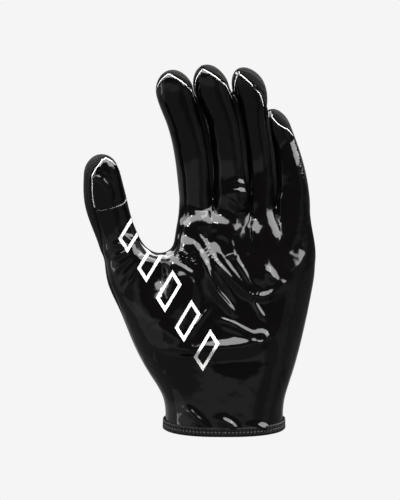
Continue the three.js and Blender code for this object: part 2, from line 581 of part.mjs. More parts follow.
function backPanel() {
  const sheet = new Sheet();
  const columns = steps(0, 1, backSteps);
  for (const name of order) {
    const backOf = (share, along) => {
      const edges = digitEdges(name, along);
      return digitPoint(name, mix(edges.backRight, 360 - edges.backLeft, share), along);
    };
    sheet.patch(columns, lowRows, (share, level) => lowPoint(name, share, level, true));
    if (name !== 'thumb') sheet.patch(columns, highRows, (share, level) => lowPoint(name, share, level, true));
    sheet.patch(columns, name === 'thumb' ? thumbRows : digitRows, backOf);
    // the dome's gap past the film's end, then the whole round of the tip
    const capStart = tipEnd + seamGap / (radians(90) * digits[name].dome * digits[name].length);
    sheet.patch(columns, [...domeRows, capStart], backOf);
    const edges = digitEdges(name, capStart);
    const round = [...columns.map((share) => mix(edges.backRight, 360 - edges.backLeft, share)),
      ...steps(-edges.backLeft, edges.backRight, capSteps).slice(1).map((angle) => angle + 360)];
    sheet.patch(round, steps(capStart, 2, 2), (angle, along) => digitPoint(name, angle, along));
  }
  return sheet.solid(wallKnit);
}

// A side strip: down one digit's side, across the bottom of the gap and up the next digit's side.
function sideStrip(left, right) {
  const sheet = new Sheet();
  const columns = steps(0, 1, 2);
  const bottom = baseEnds(left)[1];
  const halfBottom = (left === 'thumb' ? webHalf : crotchHalf) - seamGap - wallPalm;
  const across = (share) => bottom.clone().add(vector(0, mix(-halfBottom, halfBottom, share), 0));
  const rowsUp = left === 'thumb' ? thumbRows.filter((along) => along < stripEnds.thumb + nudge)
    : [...digitRows, stripEnds.finger];
  sheet.patch(columns, rowsUp, (share, along) => {
    return along === 0 ? across(share) : stripPoint(left, 1, share, along);
  });
  if (left === 'thumb') {
    const rows = [...highRows.filter((level) => level < webHeight + gussetReach)].reverse();
    sheet.patch(columns, rows, (share, level) => {
      if (level === webHeight) return across(share);
      const edge = -handEdge(level), gap = 2 * gapAngle((angle) => handPoint(angle, level), edge);
      return handPoint(mix(edge - gap, sideStart - 180 + gap, share), level);
    });
    return sheet.solid(wallKnit);
  }
  sheet.patch(columns, [...rowsUp].reverse(), (share, along) => {
    return along === 0 ? across(share) : stripPoint(right, -1, share, along);
  });
  return sheet.solid(wallKnit);
}

// The binding: a channel that the hem of both panels stands in, run round the wrist.
function cuffBinding() {
  const outside = seamGap + bindingWall;
  const inside = -wallPalm - seamGap - bindingWall;
  const profile = [[outside, 0], [outside, bindingHeight], [seamGap, bindingHeight], [seamGap, bindingWall],
    [-wallPalm - seamGap, bindingWall], [-wallPalm - seamGap, bindingHeight],
    [inside, bindingHeight], [inside, 0]];
  const places = [], faces = [];
  for (let i = 0; i < bindingSteps; i += 1) {
    const angle = 360 * i / bindingSteps;
    const [before, here, after] = [-1, 0, 1].map((turn) => bodyPoint(angle + turn, hemLevel));
    const along = after.sub(before).setZ(0).normalize();
    const out = vector(along.y, -along.x, 0);
    for (const [reach, up] of profile) {
      places.push(...here.clone().addScaledVector(out, reach).add(vector(0, 0, up - hemLevel)).toArray());
    }
    for (let k = 0; k < profile.length; k += 1) {
      const next = ((i + 1) % bindingSteps) * profile.length, row = i * profile.length;
      const other = (k + 1) % profile.length;
      faces.push([row + k, next + k, next + other], [row + k, next + other, row + other]);
    }
  }
  const geometry = new THREE.BufferGeometry();
  geometry.setAttribute('position', new THREE.Float32BufferAttribute(places, 3));
  geometry.setIndex(faces.flat());
  geometry.computeVertexNormals();
  return geometry;
}

const gripFilm = { color: 0x141314, roughness: 0.12, metalness: 0 };
const knit = { color: 0x35322f, roughness: 0.9, metalness: 0 };
const tape = { color: 0x2c2b2c, roughness: 0.85, metalness: 0 };

const glove = new THREE.Group();
function add(name, geometry, look) {
  const mesh = new THREE.Mesh(geometry, new THREE.MeshStandardMaterial(look));
  mesh.name = name;
  glove.add(mesh);
}
add('palm_panel', palmPanel(), gripFilm);
add('thumb_pad', thumbPad(), gripFilm);
add('back_panel', backPanel(), knit);
add('thumb_gusset', sideStrip('thumb'), knit);
add('fourchette_index_middle', sideStrip('index', 'middle'), gripFilm);
add('fourchette_middle_ring', sideStrip('middle', 'ring'), gripFilm);
add('fourchette_ring_little', sideStrip('ring', 'little'), gripFilm);
add('cuff_binding', cuffBinding(), tape);

export default glove;
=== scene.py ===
import math
import bpy
import numpy as np
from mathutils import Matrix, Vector


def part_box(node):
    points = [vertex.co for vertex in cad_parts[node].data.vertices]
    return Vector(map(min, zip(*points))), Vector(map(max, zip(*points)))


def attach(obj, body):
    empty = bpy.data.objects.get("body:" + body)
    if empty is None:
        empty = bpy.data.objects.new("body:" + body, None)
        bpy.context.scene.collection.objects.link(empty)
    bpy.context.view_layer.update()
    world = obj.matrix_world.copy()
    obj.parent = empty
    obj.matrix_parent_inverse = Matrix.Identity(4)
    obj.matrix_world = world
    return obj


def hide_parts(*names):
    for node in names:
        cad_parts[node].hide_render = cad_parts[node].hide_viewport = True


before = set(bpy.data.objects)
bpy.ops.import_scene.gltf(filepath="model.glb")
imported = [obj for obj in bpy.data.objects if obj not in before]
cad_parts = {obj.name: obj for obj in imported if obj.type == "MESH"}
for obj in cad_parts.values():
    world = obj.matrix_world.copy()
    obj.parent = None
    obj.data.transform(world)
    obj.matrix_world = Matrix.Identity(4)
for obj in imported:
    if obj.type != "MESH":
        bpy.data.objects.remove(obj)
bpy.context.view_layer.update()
mm = 0.001  # the shapes are worked out in millimetres and stored in metres

# Camera and framing: the photo's frame is 400 x 500, and the glove's palm faces the camera
view = {"distance": 1400, "across": -14.4, "height": 110.2, "frameHeight": 300, "sensor": 24}
cameraData = bpy.data.cameras.new("camera")
cameraData.sensor_fit = "VERTICAL"
cameraData.sensor_height = view["sensor"]
cameraData.lens = view["sensor"] * view["distance"] / view["frameHeight"]
camera = bpy.data.objects.new("camera", cameraData)
camera.location = Vector((view["across"], -view["distance"], view["height"])) * mm
camera.rotation_euler = (math.radians(90), 0, 0)
bpy.context.scene.collection.objects.link(camera)
bpy.context.scene.camera = camera
print("camera set")

# The glove's sizes. The cuff's come from the frame, and the rest are the pattern's own.
cuffLow, cuffHigh = [np.array(corner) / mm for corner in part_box("cuff_binding")]
glove = {
    "wall": 1.0, "seamGap": 0.4, "bindingWall": 1.0, "wristDepth": 49,
    "thumbReach": 73, "heelReach": 55.5,
    "webHeight": 106, "webPlace": -40, "webSetback": -9.5, "webRound": 8, "webHalf": 4,
    "webTurn": 8, "webSpread": 8, "gussetHeight": 20,
    "knuckleHeight": 141, "knuckleWidth": 79, "knuckleMiddle": 12.7, "knuckleDepth": 27,
    "crotchHalf": 3.2, "sideHalf": 1.0, "hemDip": 4,
}
glove["wristWidth"] = (cuffHigh - cuffLow)[0] - 2 * (glove["seamGap"] + glove["bindingWall"])
web, knuckle, knuckleWidth = glove["webHeight"], glove["knuckleHeight"], glove["knuckleWidth"]

# height, thumb side, little side, thumb lean, little lean, front, back: the part's own shares
bodyRows = np.array([
    (0, 0, 0, 0, 0, 0.52, 0.49), (0.13, 0, 0.01, 0, 0, 0.51, 0.48),
    (0.22, 0.06, 0.09, -0.01, 0, 0.5, 0.47), (0.36, 0.28, 0.31, -0.04, 0.02, 0.49, 0.45),
    (0.56, 0.56, 0.59, -0.1, 0.04, 0.47, 0.42), (0.8, 0.8, 0.86, -0.18, 0.07, 0.43, 0.39),
    (0.9, 0.9, 0.95, -0.22, 0.085, 0.415, 0.375), (1, 1, 1, -0.25, 0.1, 0.4, 0.36)])
# height (1 at the web, 2 at the knuckles), left, right, little lean, front, back
handRows = np.array([
    (0, 0, 0, 0, 0.6, 0.6), (0.532, 0, 0, 0.11, 0.68, 0.62),
    (0.825, 0, 0, 0.15, 0.72, 0.64), (1, 0, 0, 0.19, 0.68, 0.61),
    (1.154, 0.3, 0.04, 0.21, 0.65, 0.59), (1.355, 0.62, 0.22, 0.23, 0.61, 0.56),
    (1.678, 0.88, 0.65, 0.28, 0.56, 0.51), (2, 1, 1, 0.33, 0.5, 0.46)])
handRows[:, 0] = np.interp(handRows[:, 0], (0, 1, 2), (0, web, knuckle))
# place, setback, height of the hand's sides and the finger gaps
bases = np.array([(-0.5, -0.038, 1.0), (-0.245, -0.025, 1.0), (0.03, 0.02, 1.007),
                  (0.232, 0.07, 0.979), (0.5, 0.114, 0.936)])
indexSide = glove["knuckleMiddle"] + bases[0, 0] * knuckleWidth
# place, height, across, along, rise
mounds = [(-0.68, 0.5, 0.33, 0.43, 0.18), (0.61, 0.36, 0.23, 0.43, 0.08),
          (0.11, 0.59, 0.23, 0.33, -0.08), (0.36, 0.86, 0.38, 0.13, 0.03)]
# along, lean, curl, rise, width, depth
digits = {
    "thumb": {"length": 60, "width": 25, "depth": 23, "dome": 0.17, "path": np.array([
        (0, 0, 0, 0, 0.66, 0.66), (0.04, -0.055, -0.004, 0.04, 0.585, 0.64),
        (0.1, -0.095, -0.012, 0.105, 0.54, 0.61), (0.16, -0.12, -0.02, 0.17, 0.515, 0.58),
        (0.34, -0.18, -0.07, 0.36, 0.49, 0.52), (0.52, -0.225, -0.14, 0.54, 0.5, 0.5),
        (0.72, -0.25, -0.22, 0.73, 0.465, 0.48), (0.88, -0.26, -0.3, 0.88, 0.41, 0.43),
        (1, -0.26, -0.37, 0.985, 0.37, 0.4)])},
    "index": {"length": 75, "width": 0.253 * knuckleWidth, "depth": 20, "dome": 0.145, "path": np.array([
        (0, 0, 0, 0, 0.505, 0.6), (0.22, -0.019, -0.03, 0.23, 0.515, 0.52),
        (0.45, -0.047, -0.075, 0.44, 0.53, 0.5), (0.68, -0.106, -0.16, 0.655, 0.535, 0.5),
        (0.86, -0.166, -0.28, 0.825, 0.56, 0.5), (1, -0.205, -0.38, 0.99, 0.56, 0.47)])},
    "middle": {"length": 78, "width": 0.253 * knuckleWidth, "depth": 20, "dome": 0.14, "path": np.array([
        (0, 0, 0, 0, 0.54, 0.6), (0.22, -0.014, -0.02, 0.225, 0.49, 0.52),
        (0.45, -0.035, -0.065, 0.43, 0.5, 0.5), (0.68, -0.08, -0.135, 0.645, 0.5, 0.5),
        (0.86, -0.148, -0.225, 0.815, 0.525, 0.49), (1, -0.215, -0.32, 0.99, 0.53, 0.46)])},
    "ring": {"length": 77, "width": 0.215 * knuckleWidth, "depth": 18.5, "dome": 0.14, "path": np.array([
        (0, 0, 0, 0, 0.5, 0.6), (0.22, -0.016, 0.012, 0.22, 0.475, 0.52),
        (0.45, -0.044, -0.025, 0.435, 0.48, 0.5), (0.68, -0.076, -0.12, 0.66, 0.475, 0.48),
        (0.86, -0.102, -0.19, 0.84, 0.575, 0.5), (1, -0.195, -0.29, 1, 0.57, 0.47)])},
    "little": {"length": 60, "width": 0.234 * knuckleWidth, "depth": 18.5, "dome": 0.17, "path": np.array([
        (0, 0, 0, 0, 0.57, 0.58), (0.22, -0.01, 0.02, 0.21, 0.54, 0.53),
        (0.45, -0.04, 0.03, 0.44, 0.48, 0.5), (0.68, -0.092, 0.055, 0.66, 0.42, 0.46),
        (0.86, -0.163, 0, 0.83, 0.43, 0.45), (1, -0.23, -0.08, 0.99, 0.43, 0.43)])},
}
order = list(digits)
# whether a digit has a side strip on its left and on its right
hasStrip = {"thumb": (False, True), "index": (False, True), "middle": (True, True), "ring": (True, True),
            "little": (True, False)}
# along, left, right, strip: the film's edges round a digit, in degrees from its front
lowerEdges = {
    "thumb": [(0.0, 62, 80, 20), (0.2, 42, 84, 30), (0.6, 32, 90, 20), (0.85, 34, 92, 4)],
    "index": [(0.0, 97, 80, 20), (0.2, 97, 66, 50), (0.75, 96, 64, 46)],
    "finger": [(0.0, 80, 80, 20), (0.2, 80, 66, 50), (0.75, 80, 64, 46)]}
tipEdges = {
    "thumb": [(1.0, 32, 92, 0), (1.3, 28, 88, 0), (1.6, 14, 84, 0), (1.85, -10, 80, 0)],
    "index": [(0.9, 92, 66, 34), (1.0, 88, 64, 18), (1.15, 84, 58, 4), (1.3, 80, 50, 0), (1.6, 66, 28, 0),
              (1.85, 40, -5, 0)],
    "middle": [(0.9, 79, 64, 34), (1.0, 78, 60, 18), (1.15, 76, 52, 4), (1.3, 72, 42, 0), (1.6, 56, 20, 0),
               (1.85, 30, -10, 0)],
    "ring": [(0.9, 79, 46, 24), (1.0, 78, 30, 10), (1.15, 76, 20, 2), (1.3, 72, 14, 0), (1.6, 56, 2, 0),
             (1.85, 30, -15, 0)],
    "little": [(0.9, 79, 60, 20), (1.0, 78, 42, 8), (1.15, 72, 24, 2), (1.3, 64, 10, 0), (1.6, 46, -6, 0),
               (1.85, 26, -16, 0)]}
edgesOf = {name: np.array(lowerEdges.get(name, lowerEdges["finger"]) + tipEdges[name]) for name in digits}
stripEnds = {True: 1.0, False: 1.3}  # where a side strip has narrowed to nothing, on the thumb or a finger
thumbBodyEdge = np.array([(0, 97), (0.45, 88), (0.8, 72), (1, 62)])  # the same edge on the body below
# where the skin's parts start, wrap, blend and fade, in degrees or in shares of a length
skin = {"partStart": 0.42, "filmWrap": 97, "indexWrap": 17, "sideStart": 80, "bodyPower": 0.8,
        "digitPower": 0.95, "blendStart": 0.62, "baseBlend": 0.22,
        "flatFade": 0.83, "hemFade": 0.4, "tipEnd": 1.85, "padStart": 0.62}


def mix(a, b, share):  # a share of the way from a to b
    return a + (b - a) * share


def ease(value):  # 0 to 1 with no slope or bend at either end
    x = np.clip(value, 0, 1)
    return x * x * x * (x * (6 * x - 15) + 10)


def vec(x, y, z):  # points from their three coordinates
    return np.stack(np.broadcast_arrays(x, y, z), -1).astype(float)


def unit(v, least=1e-9):  # each vector divided by its length
    return v / np.maximum(np.linalg.norm(v, axis=-1, keepdims=True), least)


def sine(angle):
    return np.sin(np.radians(angle))


def cosine(angle):
    return np.cos(np.radians(angle))


def arc(share):  # the height of a quarter circle at a share of its width: the root of 2 s less s squared
    return np.sqrt(2 * share - share * share)


def risen(level, reach):  # 0 at the web and 1 at a reach above it, eased
    return ease((level - web) / reach)


def through(rows, column, at):  # natural cubic spline through a table's column, by its first column
    xs, ys = rows[:, 0], rows[:, column]
    n, h = len(xs), np.diff(xs)
    bend, right = np.eye(n), np.zeros(n)
    inner = np.arange(1, n - 1)
    bend[inner, inner - 1], bend[inner, inner + 1] = h[:-1], h[1:]
    bend[inner, inner] = 2 * (h[:-1] + h[1:])
    right[1:-1] = 6 * (np.diff(ys)[1:] / h[1:] - np.diff(ys)[:-1] / h[:-1])
    m = np.linalg.solve(bend, right)
    x = np.clip(at, xs[0], xs[-1])
    i = np.clip(np.searchsorted(xs, x) - 1, 0, n - 2)
    a, b, s = xs[i + 1] - x, x - xs[i], h[i]
    return ((m[i] * a**3 + m[i + 1] * b**3) / (6 * s) + (ys[i] / s - m[i] * s / 6) * a
            + (ys[i + 1] / s - m[i + 1] * s / 6) * b)


flatSine, flatCosine = sine(skin["sideStart"]), cosine(skin["sideStart"])


def section(angle, power, front, back, flat):  # sine and cosine raised to a power, with a flat side
    s, c = sine(angle), cosine(angle)
    across = np.sign(s) * np.minimum(np.abs(s) / flatSine, 1) ** power
    rounded = np.maximum(0, (np.abs(c) - flatCosine) / (1 - flatCosine)) ** power
    deep = np.where(c > 0, front, back) - flat
    return across, flat * np.clip(c / flatCosine, -1, 1) + np.sign(c) * deep * rounded


def angleAcross(share, power):  # the angle at which a section is that share of its half across
    return np.degrees(np.arcsin(np.sign(share) * np.minimum(1, np.abs(share)) ** (1 / power) * flatSine))


def swelling(x, z):  # a sum of bell-shaped mounds over the palm
    total = 0
    for place, height, across, along, rise in mounds:
        total = total + rise * glove["wristDepth"] * np.exp(
            -((x - place * glove["heelReach"]) / (across * knuckleWidth)) ** 2
            - ((z - height * knuckle) / (along * knuckleWidth)) ** 2)
    return total


def bodySides(level):  # the splines of the body's rows, times the glove's reaches and depth
    at = [through(bodyRows, i, level / web) for i in range(1, 7)]
    half, depth = glove["wristWidth"] / 2, glove["wristDepth"]
    return {"left": -mix(half, glove["thumbReach"], at[0]), "right": mix(half, glove["heelReach"], at[1]),
            "leanLeft": at[2] * depth, "leanRight": at[3] * depth,
            "front": at[4] * depth, "back": at[5] * depth}


def placeOn(sides, across, deep, level, flat):  # x between the sides, y the lean less depth and swelling
    x = mix(sides["left"], sides["right"], (across + 1) / 2)
    lean = mix(sides["leanLeft"], sides["leanRight"], (across + 1) / 2)
    swell = swelling(x, level) * np.clip((deep - flat) / (sides["front"] - flat), 0, 1)
    return vec(x, lean - deep - swell, level)


def bodyPoint(angle, level):  # a section of the body; the hem dips by one less the angle's cosine
    sides = bodySides(level)
    across, deep = section(angle, skin["bodyPower"], sides["front"], sides["back"], glove["sideHalf"])
    point = placeOn(sides, across, deep, level, glove["sideHalf"])
    point[..., 2] += glove["hemDip"] * (1 - cosine(angle)) * (1 - ease(level / (web * skin["hemFade"])))
    return point


def bodyAngleAt(x, level, back):  # the angle of the body's section at that x
    sides = bodySides(level)
    share = (2 * x - sides["left"] - sides["right"]) / (sides["right"] - sides["left"])
    angle = angleAcross(share, skin["bodyPower"])
    return np.where(back, 180 - angle, angle)


def handSides(level):  # the splines of the hand's rows; a quarter circle leads up from the web
    at = [through(handRows, i, level) for i in range(1, 6)]
    turn = np.clip((level - web) / glove["webRound"], 0, 1)
    above = (glove["webPlace"] + glove["webRound"] * arc(turn)
             + (indexSide - glove["webPlace"] - glove["webRound"]) * at[0])
    left = np.where(level > web, above, glove["webPlace"] * mix(skin["partStart"], 1, level / web))
    right = mix(bodySides(np.minimum(level, web))["right"], glove["knuckleMiddle"] + knuckleWidth / 2, at[1])
    leanRight = at[2] * glove["knuckleDepth"]
    slope = np.where(level > web, (leanRight - glove["webSetback"]) / (right - glove["webPlace"]), 0)
    leanWeb = glove["webSetback"] + slope * (left - glove["webPlace"])
    return {"left": left, "right": right, "leanRight": leanRight,
            "leanLeft": mix(leanWeb, bases[0, 1] * knuckleWidth, risen(level, knuckle - web)),
            "front": at[3] * glove["knuckleDepth"], "back": at[4] * glove["knuckleDepth"]}


def handPoint(angle, level):  # a section of the hand, whose web side is rounded off by a quarter circle
    sides = handSides(level)
    webHalf = mix(glove["webHalf"], glove["sideHalf"], risen(level, glove["gussetHeight"]))
    flat = np.where(sine(angle) < 0, webHalf, glove["sideHalf"])
    across, deep = section(angle, skin["bodyPower"], sides["front"], sides["back"], flat)
    x = mix(sides["left"], sides["right"], (across + 1) / 2)
    turn = np.clip((x - sides["left"]) / glove["webTurn"], 0, 1)
    left = mix(glove["webPlace"] - glove["webSpread"], indexSide, risen(level, knuckle - web))
    wide = angleAcross((2 * x - left - sides["right"]) / (sides["right"] - left), skin["bodyPower"])
    ahead = cosine(angle) > 0
    depth = np.where(ahead, sides["front"], sides["back"])
    full = section(wide, skin["bodyPower"], depth, 0, glove["sideHalf"])[1]
    closed = np.where(ahead, 1, -1) * mix(flat, np.maximum(flat, full), arc(turn))
    deep = np.where(np.abs(across) < 1, closed, deep)
    return placeOn(sides, across, deep, level, flat)


def handSurface(angle, level):  # the body's depth turns into the hand's on the way up to the web
    point = handPoint(angle, level)
    straight = (angle >= skin["sideStart"]) & (angle <= 180 - skin["sideStart"])
    low = np.minimum(level, web)
    sloped = bodyAngleAt(point[..., 0], low, cosine(angle) < 0)
    onBody = bodyPoint(np.where(straight, angle, sloped), low)
    share = ease((level / web - skin["blendStart"]) / (1 - skin["blendStart"]))
    under = np.broadcast_to(level < web, point.shape[:-1])
    y = np.where(under, mix(onBody[..., 1], point[..., 1], share), point[..., 1])
    z = np.where(under, onBody[..., 2], point[..., 2])
    return vec(point[..., 0], y, z)


def baseEnds(name):  # the two ends of the line that a digit stands on
    if name == "thumb":
        sides = bodySides(np.array(float(web)))
        return vec(sides["left"], sides["leanLeft"], web), vec(glove["webPlace"], glove["webSetback"], web)
    place = vec(glove["knuckleMiddle"] + bases[:, 0] * knuckleWidth, bases[:, 1] * knuckleWidth,
                bases[:, 2] * knuckle)
    first = order.index(name) - 1
    return place[first], place[first + 1]


def digitPoint(name, angle, along):  # a round section carried along the digit's centre line, closed by a dome
    digit = digits[name]
    start, end = baseEnds(name)
    base, path = (start + end) / 2, digit["path"]
    tip = math.pi / 2 * np.clip(along - 1, 0, 1)
    t = np.minimum(along, 1) * (1 - digit["dome"]) + digit["dome"] * np.sin(tip)

    def centreAt(place):  # the centre line
        return vec(*(through(path, i, place) for i in (1, 2, 3))) * digit["length"] + base
    step = 1e-3
    forward = unit(centreAt(np.minimum(1, t + step)) - centreAt(np.maximum(0, t - step)))
    started = ease(t / skin["baseBlend"])[..., None]
    front = np.array([0.0, -1.0, 0.0])
    outSquare = unit(front - forward * (forward @ front)[..., None])
    out = unit(mix(front, outSquare, started))
    across = unit(mix(unit(end - start), np.cross(forward, outSquare), started))
    half = through(path, 4, t) * digit["width"]
    half = half + (np.linalg.norm(end - start) / 2 - path[0, 4] * digit["width"]) * (1 - started[..., 0])
    deep = through(path, 5, t) * digit["depth"]
    wide = glove["webHalf"] if name == "thumb" else glove["crotchHalf"]
    striped = np.where(sine(angle) > 0, hasStrip[name][1], hasStrip[name][0])
    flat = np.where(striped, mix(wide, glove["sideHalf"], ease(along / skin["flatFade"])), glove["sideHalf"])
    sideways, outward = section(angle, skin["digitPower"], deep, deep, flat)
    return (centreAt(t) + across * (half * sideways * np.cos(tip))[..., None]
            + out * (outward * np.cos(tip))[..., None])


def digitEdges(name, along):  # the splines of the film's edges, and of the strips beyond them
    left, right, strip = (through(edgesOf[name], i, along) for i in (1, 2, 3))
    strip = np.where(along < stripEnds[name == "thumb"], np.maximum(0, strip), 0)
    return left, right, left + strip * hasStrip[name][0], right + strip * hasStrip[name][1]


def lowEdges(name, level, back):  # the same edges as angles of the body or hand below
    if name == "thumb":
        edge = through(thumbBodyEdge, 1, level / web)
        part = bodyAngleAt(handSides(level)["left"], level, back)
        return (part, 360 - edge) if back else (-edge, part)
    first = order.index(name) - 1
    angles = angleAcross(2 * bases[:, 0], skin["bodyPower"])
    if back:
        wrapped = skin["sideStart"] + skin["indexWrap"]
        side = 360 - mix(180 - skin["sideStart"], wrapped, risen(level, glove["gussetHeight"]))
        return (np.full_like(level, skin["filmWrap"] if name == "little" else 180 - angles[first + 1]),
                side if name == "index" else np.full_like(level, 180 - angles[first]))
    handEdge = skin["sideStart"] + skin["indexWrap"] * risen(level, glove["gussetHeight"])
    return (-handEdge if name == "index" else np.full_like(level, angles[first]),
            np.full_like(level, skin["filmWrap"] if name == "little" else angles[first + 1]))


def lowPoint(name, share, level, back):  # the skin below a digit, which turns into its base section
    start, end = baseEnds(name)
    top = np.full_like(level, web if name == "thumb" else knuckle)
    left, right, backLeft, backRight = digitEdges(name, np.zeros(1))
    ends = (backRight, 360 - backLeft) if back else (-left, right)

    def host(at, height, limits):  # the body or the hand, stretched to the height of the digit's base
        point = (bodyPoint if name == "thumb" else handSurface)(mix(*limits, at), height)
        heights = (end[2], start[2]) if back else (start[2], end[2])
        reach = (mix(*heights, at) - web) / (knuckle - web)
        if name != "thumb":
            raised = np.broadcast_to(height, point.shape[:-1])
            point[..., 2] = np.where(raised > web, web + (raised - web) * reach, point[..., 2])
        return point
    limits, topLimits = lowEdges(name, level, back), lowEdges(name, top, back)
    shift = [host(np.full_like(share, at), level, limits) - host(np.full_like(share, at), top, topLimits)
             for at in (0.0, 1.0)]
    shift = mix(shift[0], shift[1], share[..., None]) * (1, 0, 1)
    onDigit = digitPoint(name, mix(*ends, share), np.zeros_like(share)) + shift
    blended = ease((level / top - skin["blendStart"]) / (1 - skin["blendStart"]))
    return mix(host(share, level, limits), onDigit, blended[..., None])


def grid(columns, rows):  # every column with every row
    return np.meshgrid(np.asarray(columns, float), np.asarray(rows, float))


# how a point of a side strip is marked: its cloth's start, width and length, and no digit's number
stripMark = {"start": 40, "width": 6, "length": 60, "digit": 9}
# points in one cell of a grid become one, with the cells' borders off round numbers, and so do points of open
# edges that lie within a hair
joins = {"cell": 0.01, "offset": 0.237, "hair": 0.06}


def countEdges(faces):  # each pair of neighbouring points, and how many faces share it
    pairs = np.stack([faces, np.roll(faces, -1, axis=1)], -1).reshape(-1, 2)
    return np.unique(np.sort(pairs[pairs[:, 0] != pairs[:, 1]], axis=1), axis=0, return_counts=True)


class Skin:  # every panel's points in one list, joined where they meet, so that the whole can be smoothed
    def __init__(self):
        self.points, self.panels, self.marks, self.meets = [], {}, [], []
        self.count = 0

    # Points are rows x columns x 3, with the columns to the right as seen from outside. Each is marked with
    # its place on the cloth, its digit, how far along the digit it is and the angle round it.
    def patch(self, panel, points, across, up, digit=stripMark["digit"], place=0, angle=0):
        rows, columns = points.shape[:2]
        index = self.count + np.arange(rows * columns).reshape(rows, columns)
        faces = np.stack([index[:-1, :-1], index[:-1, 1:], index[1:, 1:], index[1:, :-1]], -1).reshape(-1, 4)
        self.panels.setdefault(panel, []).append(faces)
        self.points.append(points.reshape(-1, 3))
        marks = np.broadcast_arrays(across, up, digit, place, (angle + 180) % 360 - 180)
        self.marks.append(np.stack(marks, -1).reshape(-1, len(marks)))
        self.count += rows * columns
        return index

    def join(self):
        points, marks = np.concatenate(self.points), np.concatenate(self.marks)
        keys = np.round(points / joins["cell"] + joins["offset"]).astype(np.int64)
        _, first, index = np.unique(keys, axis=0, return_index=True, return_inverse=True)
        self.points, self.marks = points[first], marks[first]
        index, to = index.reshape(-1), np.arange(len(first))
        for one, other in self.meets:  # two lines that run side by side meet half way
            one, other = to[index[one]], to[index[other]]
            self.points[one] = (self.points[one] + self.points[other]) / 2
            to[other] = one
        self.panels = {name: to[index[np.concatenate(faces)]] for name, faces in self.panels.items()}
        edges, counts = countEdges(np.concatenate(list(self.panels.values())))
        loose = np.unique(edges[counts == 1])
        apart = np.linalg.norm(self.points[loose][:, None] - self.points[loose][None], axis=-1)
        to = np.arange(len(self.points))
        to[loose] = loose[np.argmax(apart < joins["hair"], axis=1)]
        self.panels = {name: to[faces] for name, faces in self.panels.items()}


# how finely each stretch is divided, and the level of the hem
fine = {"film": 36, "back": 20, "strip": 6, "low": 140, "high": 40, "crowd": 1.3, "digit": 56, "stripDome": 6,
        "filmDome": 9, "cap": 10, "hem": 1.4}


def spread(part, low=0.0, high=1.0):  # even places from low to high
    return np.linspace(low, high, fine[part] + 1)


lowRows = spread("low", fine["hem"], web)
highRows = mix(web, knuckle, spread("high") ** fine["crowd"])
stripDome = spread("stripDome", 1, stripEnds[False])
filmDome = np.r_[stripDome, spread("filmDome", stripEnds[False], skin["tipEnd"])[1:]]
capDome = spread("cap", skin["tipEnd"], 2)
digitRows, filmColumns, backColumns, stripColumns = map(spread, ("digit", "film", "back", "strip"))

print("working out the skin")
skinMesh = Skin()
lowPatch = {}
for digitIndex, name in enumerate(order):
    for back in (False, True):
        panel = "back" if back else "palm"
        columns = backColumns if back else filmColumns
        for rows in ([lowRows] if name == "thumb" else [lowRows, highRows]):
            share, level = grid(columns, rows)
            points = lowPoint(name, share, level, back)
            made = skinMesh.patch(panel, points, points[..., 0], points[..., 2], digitIndex, -1)
            lowPatch.setdefault((name, back), made)
        u = points[-1:, :, 0]

        def along(rows, kind):  # the rows of one digit, in one panel
            share, place = grid(columns, rows)
            left, right, backLeft, backRight = digitEdges(name, place)
            angle = mix(backRight, 360 - backLeft, share) if back else mix(-left, right, share)
            v = points[-1:, :, 2] + place * digits[name]["length"]
            skinMesh.patch(kind, digitPoint(name, angle, place), u, v, digitIndex, place, angle)
        if back or name != "thumb":
            along(digitRows, panel)
            along(filmDome, panel)
        else:
            padRow = int(round(skin["padStart"] * fine["digit"]))
            along(digitRows[: padRow + 1], "palm")
            along(digitRows[padRow:], "pad")
            along(filmDome, "pad")
    # the tip's cap: the back's columns and the film's, from the film's end to the top of the dome
    edge = [value[0] for value in digitEdges(name, np.array([skin["tipEnd"]]))]
    angles = np.concatenate([mix(edge[3], 360 - edge[2], backColumns),
                             360 + mix(-edge[0], edge[1], filmColumns)[1:]])
    angle, place = grid(angles, capDome)
    u = digits[name]["width"] / 2 * sine(angle) + baseEnds(name)[0][0]
    v = knuckle + place * digits[name]["length"]
    skinMesh.patch("back", digitPoint(name, angle, place), u, v, digitIndex, place, angle)

# the gusset and the side strips: down one digit's side and up the next one's
stripCloth = grid(stripColumns, [0])[0] * stripMark["width"] + stripMark["start"]
for left, right, panel in (("thumb", None, "gusset"), ("index", "middle", "stripA"),
                           ("middle", "ring", "stripB"), ("ring", "little", "stripC")):
    rows = digitRows if left == "thumb" else np.r_[digitRows, stripDome[1:]]
    share, place = grid(stripColumns, rows)
    edges = digitEdges(left, place)
    digitSide = skinMesh.patch(panel, digitPoint(left, mix(edges[1], edges[3], share), place),
                               stripCloth, place * stripMark["length"], place=place)
    if right:
        share, place = grid(stripColumns, rows[::-1])
        edges = digitEdges(right, place)
        skinMesh.patch(panel, digitPoint(right, -mix(edges[0], edges[2], share), place),
                       stripCloth, -place * stripMark["length"], place=place)
    else:
        share, level = grid(stripColumns, highRows[::-1])
        front = lowPoint("index", np.zeros_like(level), level, False)
        rear = lowPoint("index", np.ones_like(level), level, True)
        side = mix(skin["sideStart"], 180 - skin["sideStart"], share)
        turned = (1 - cosine(side) / flatCosine) / 2
        handSide = skinMesh.patch(panel, mix(front, rear, turned[..., None]), stripCloth, web - level)
        skinMesh.meets.append((digitSide[0], handSide[-1]))
skinMesh.meets.append((lowPatch["thumb", False][:, -1], lowPatch["index", False][:, 0]))
skinMesh.meets.append((lowPatch["thumb", True][:, 0], lowPatch["index", True][:, -1]))
skinMesh.join()
print("skin points", len(skinMesh.points), {name: len(faces) for name, faces in skinMesh.panels.items()})


def gather(index, values, count):  # the sum of the values that share an index
    return np.stack([np.bincount(index, values[:, i], count) for i in range(3)], -1)


def bell(distance, reach):  # e to the minus square of distance over reach
    return np.exp(-(distance / reach) ** 2)


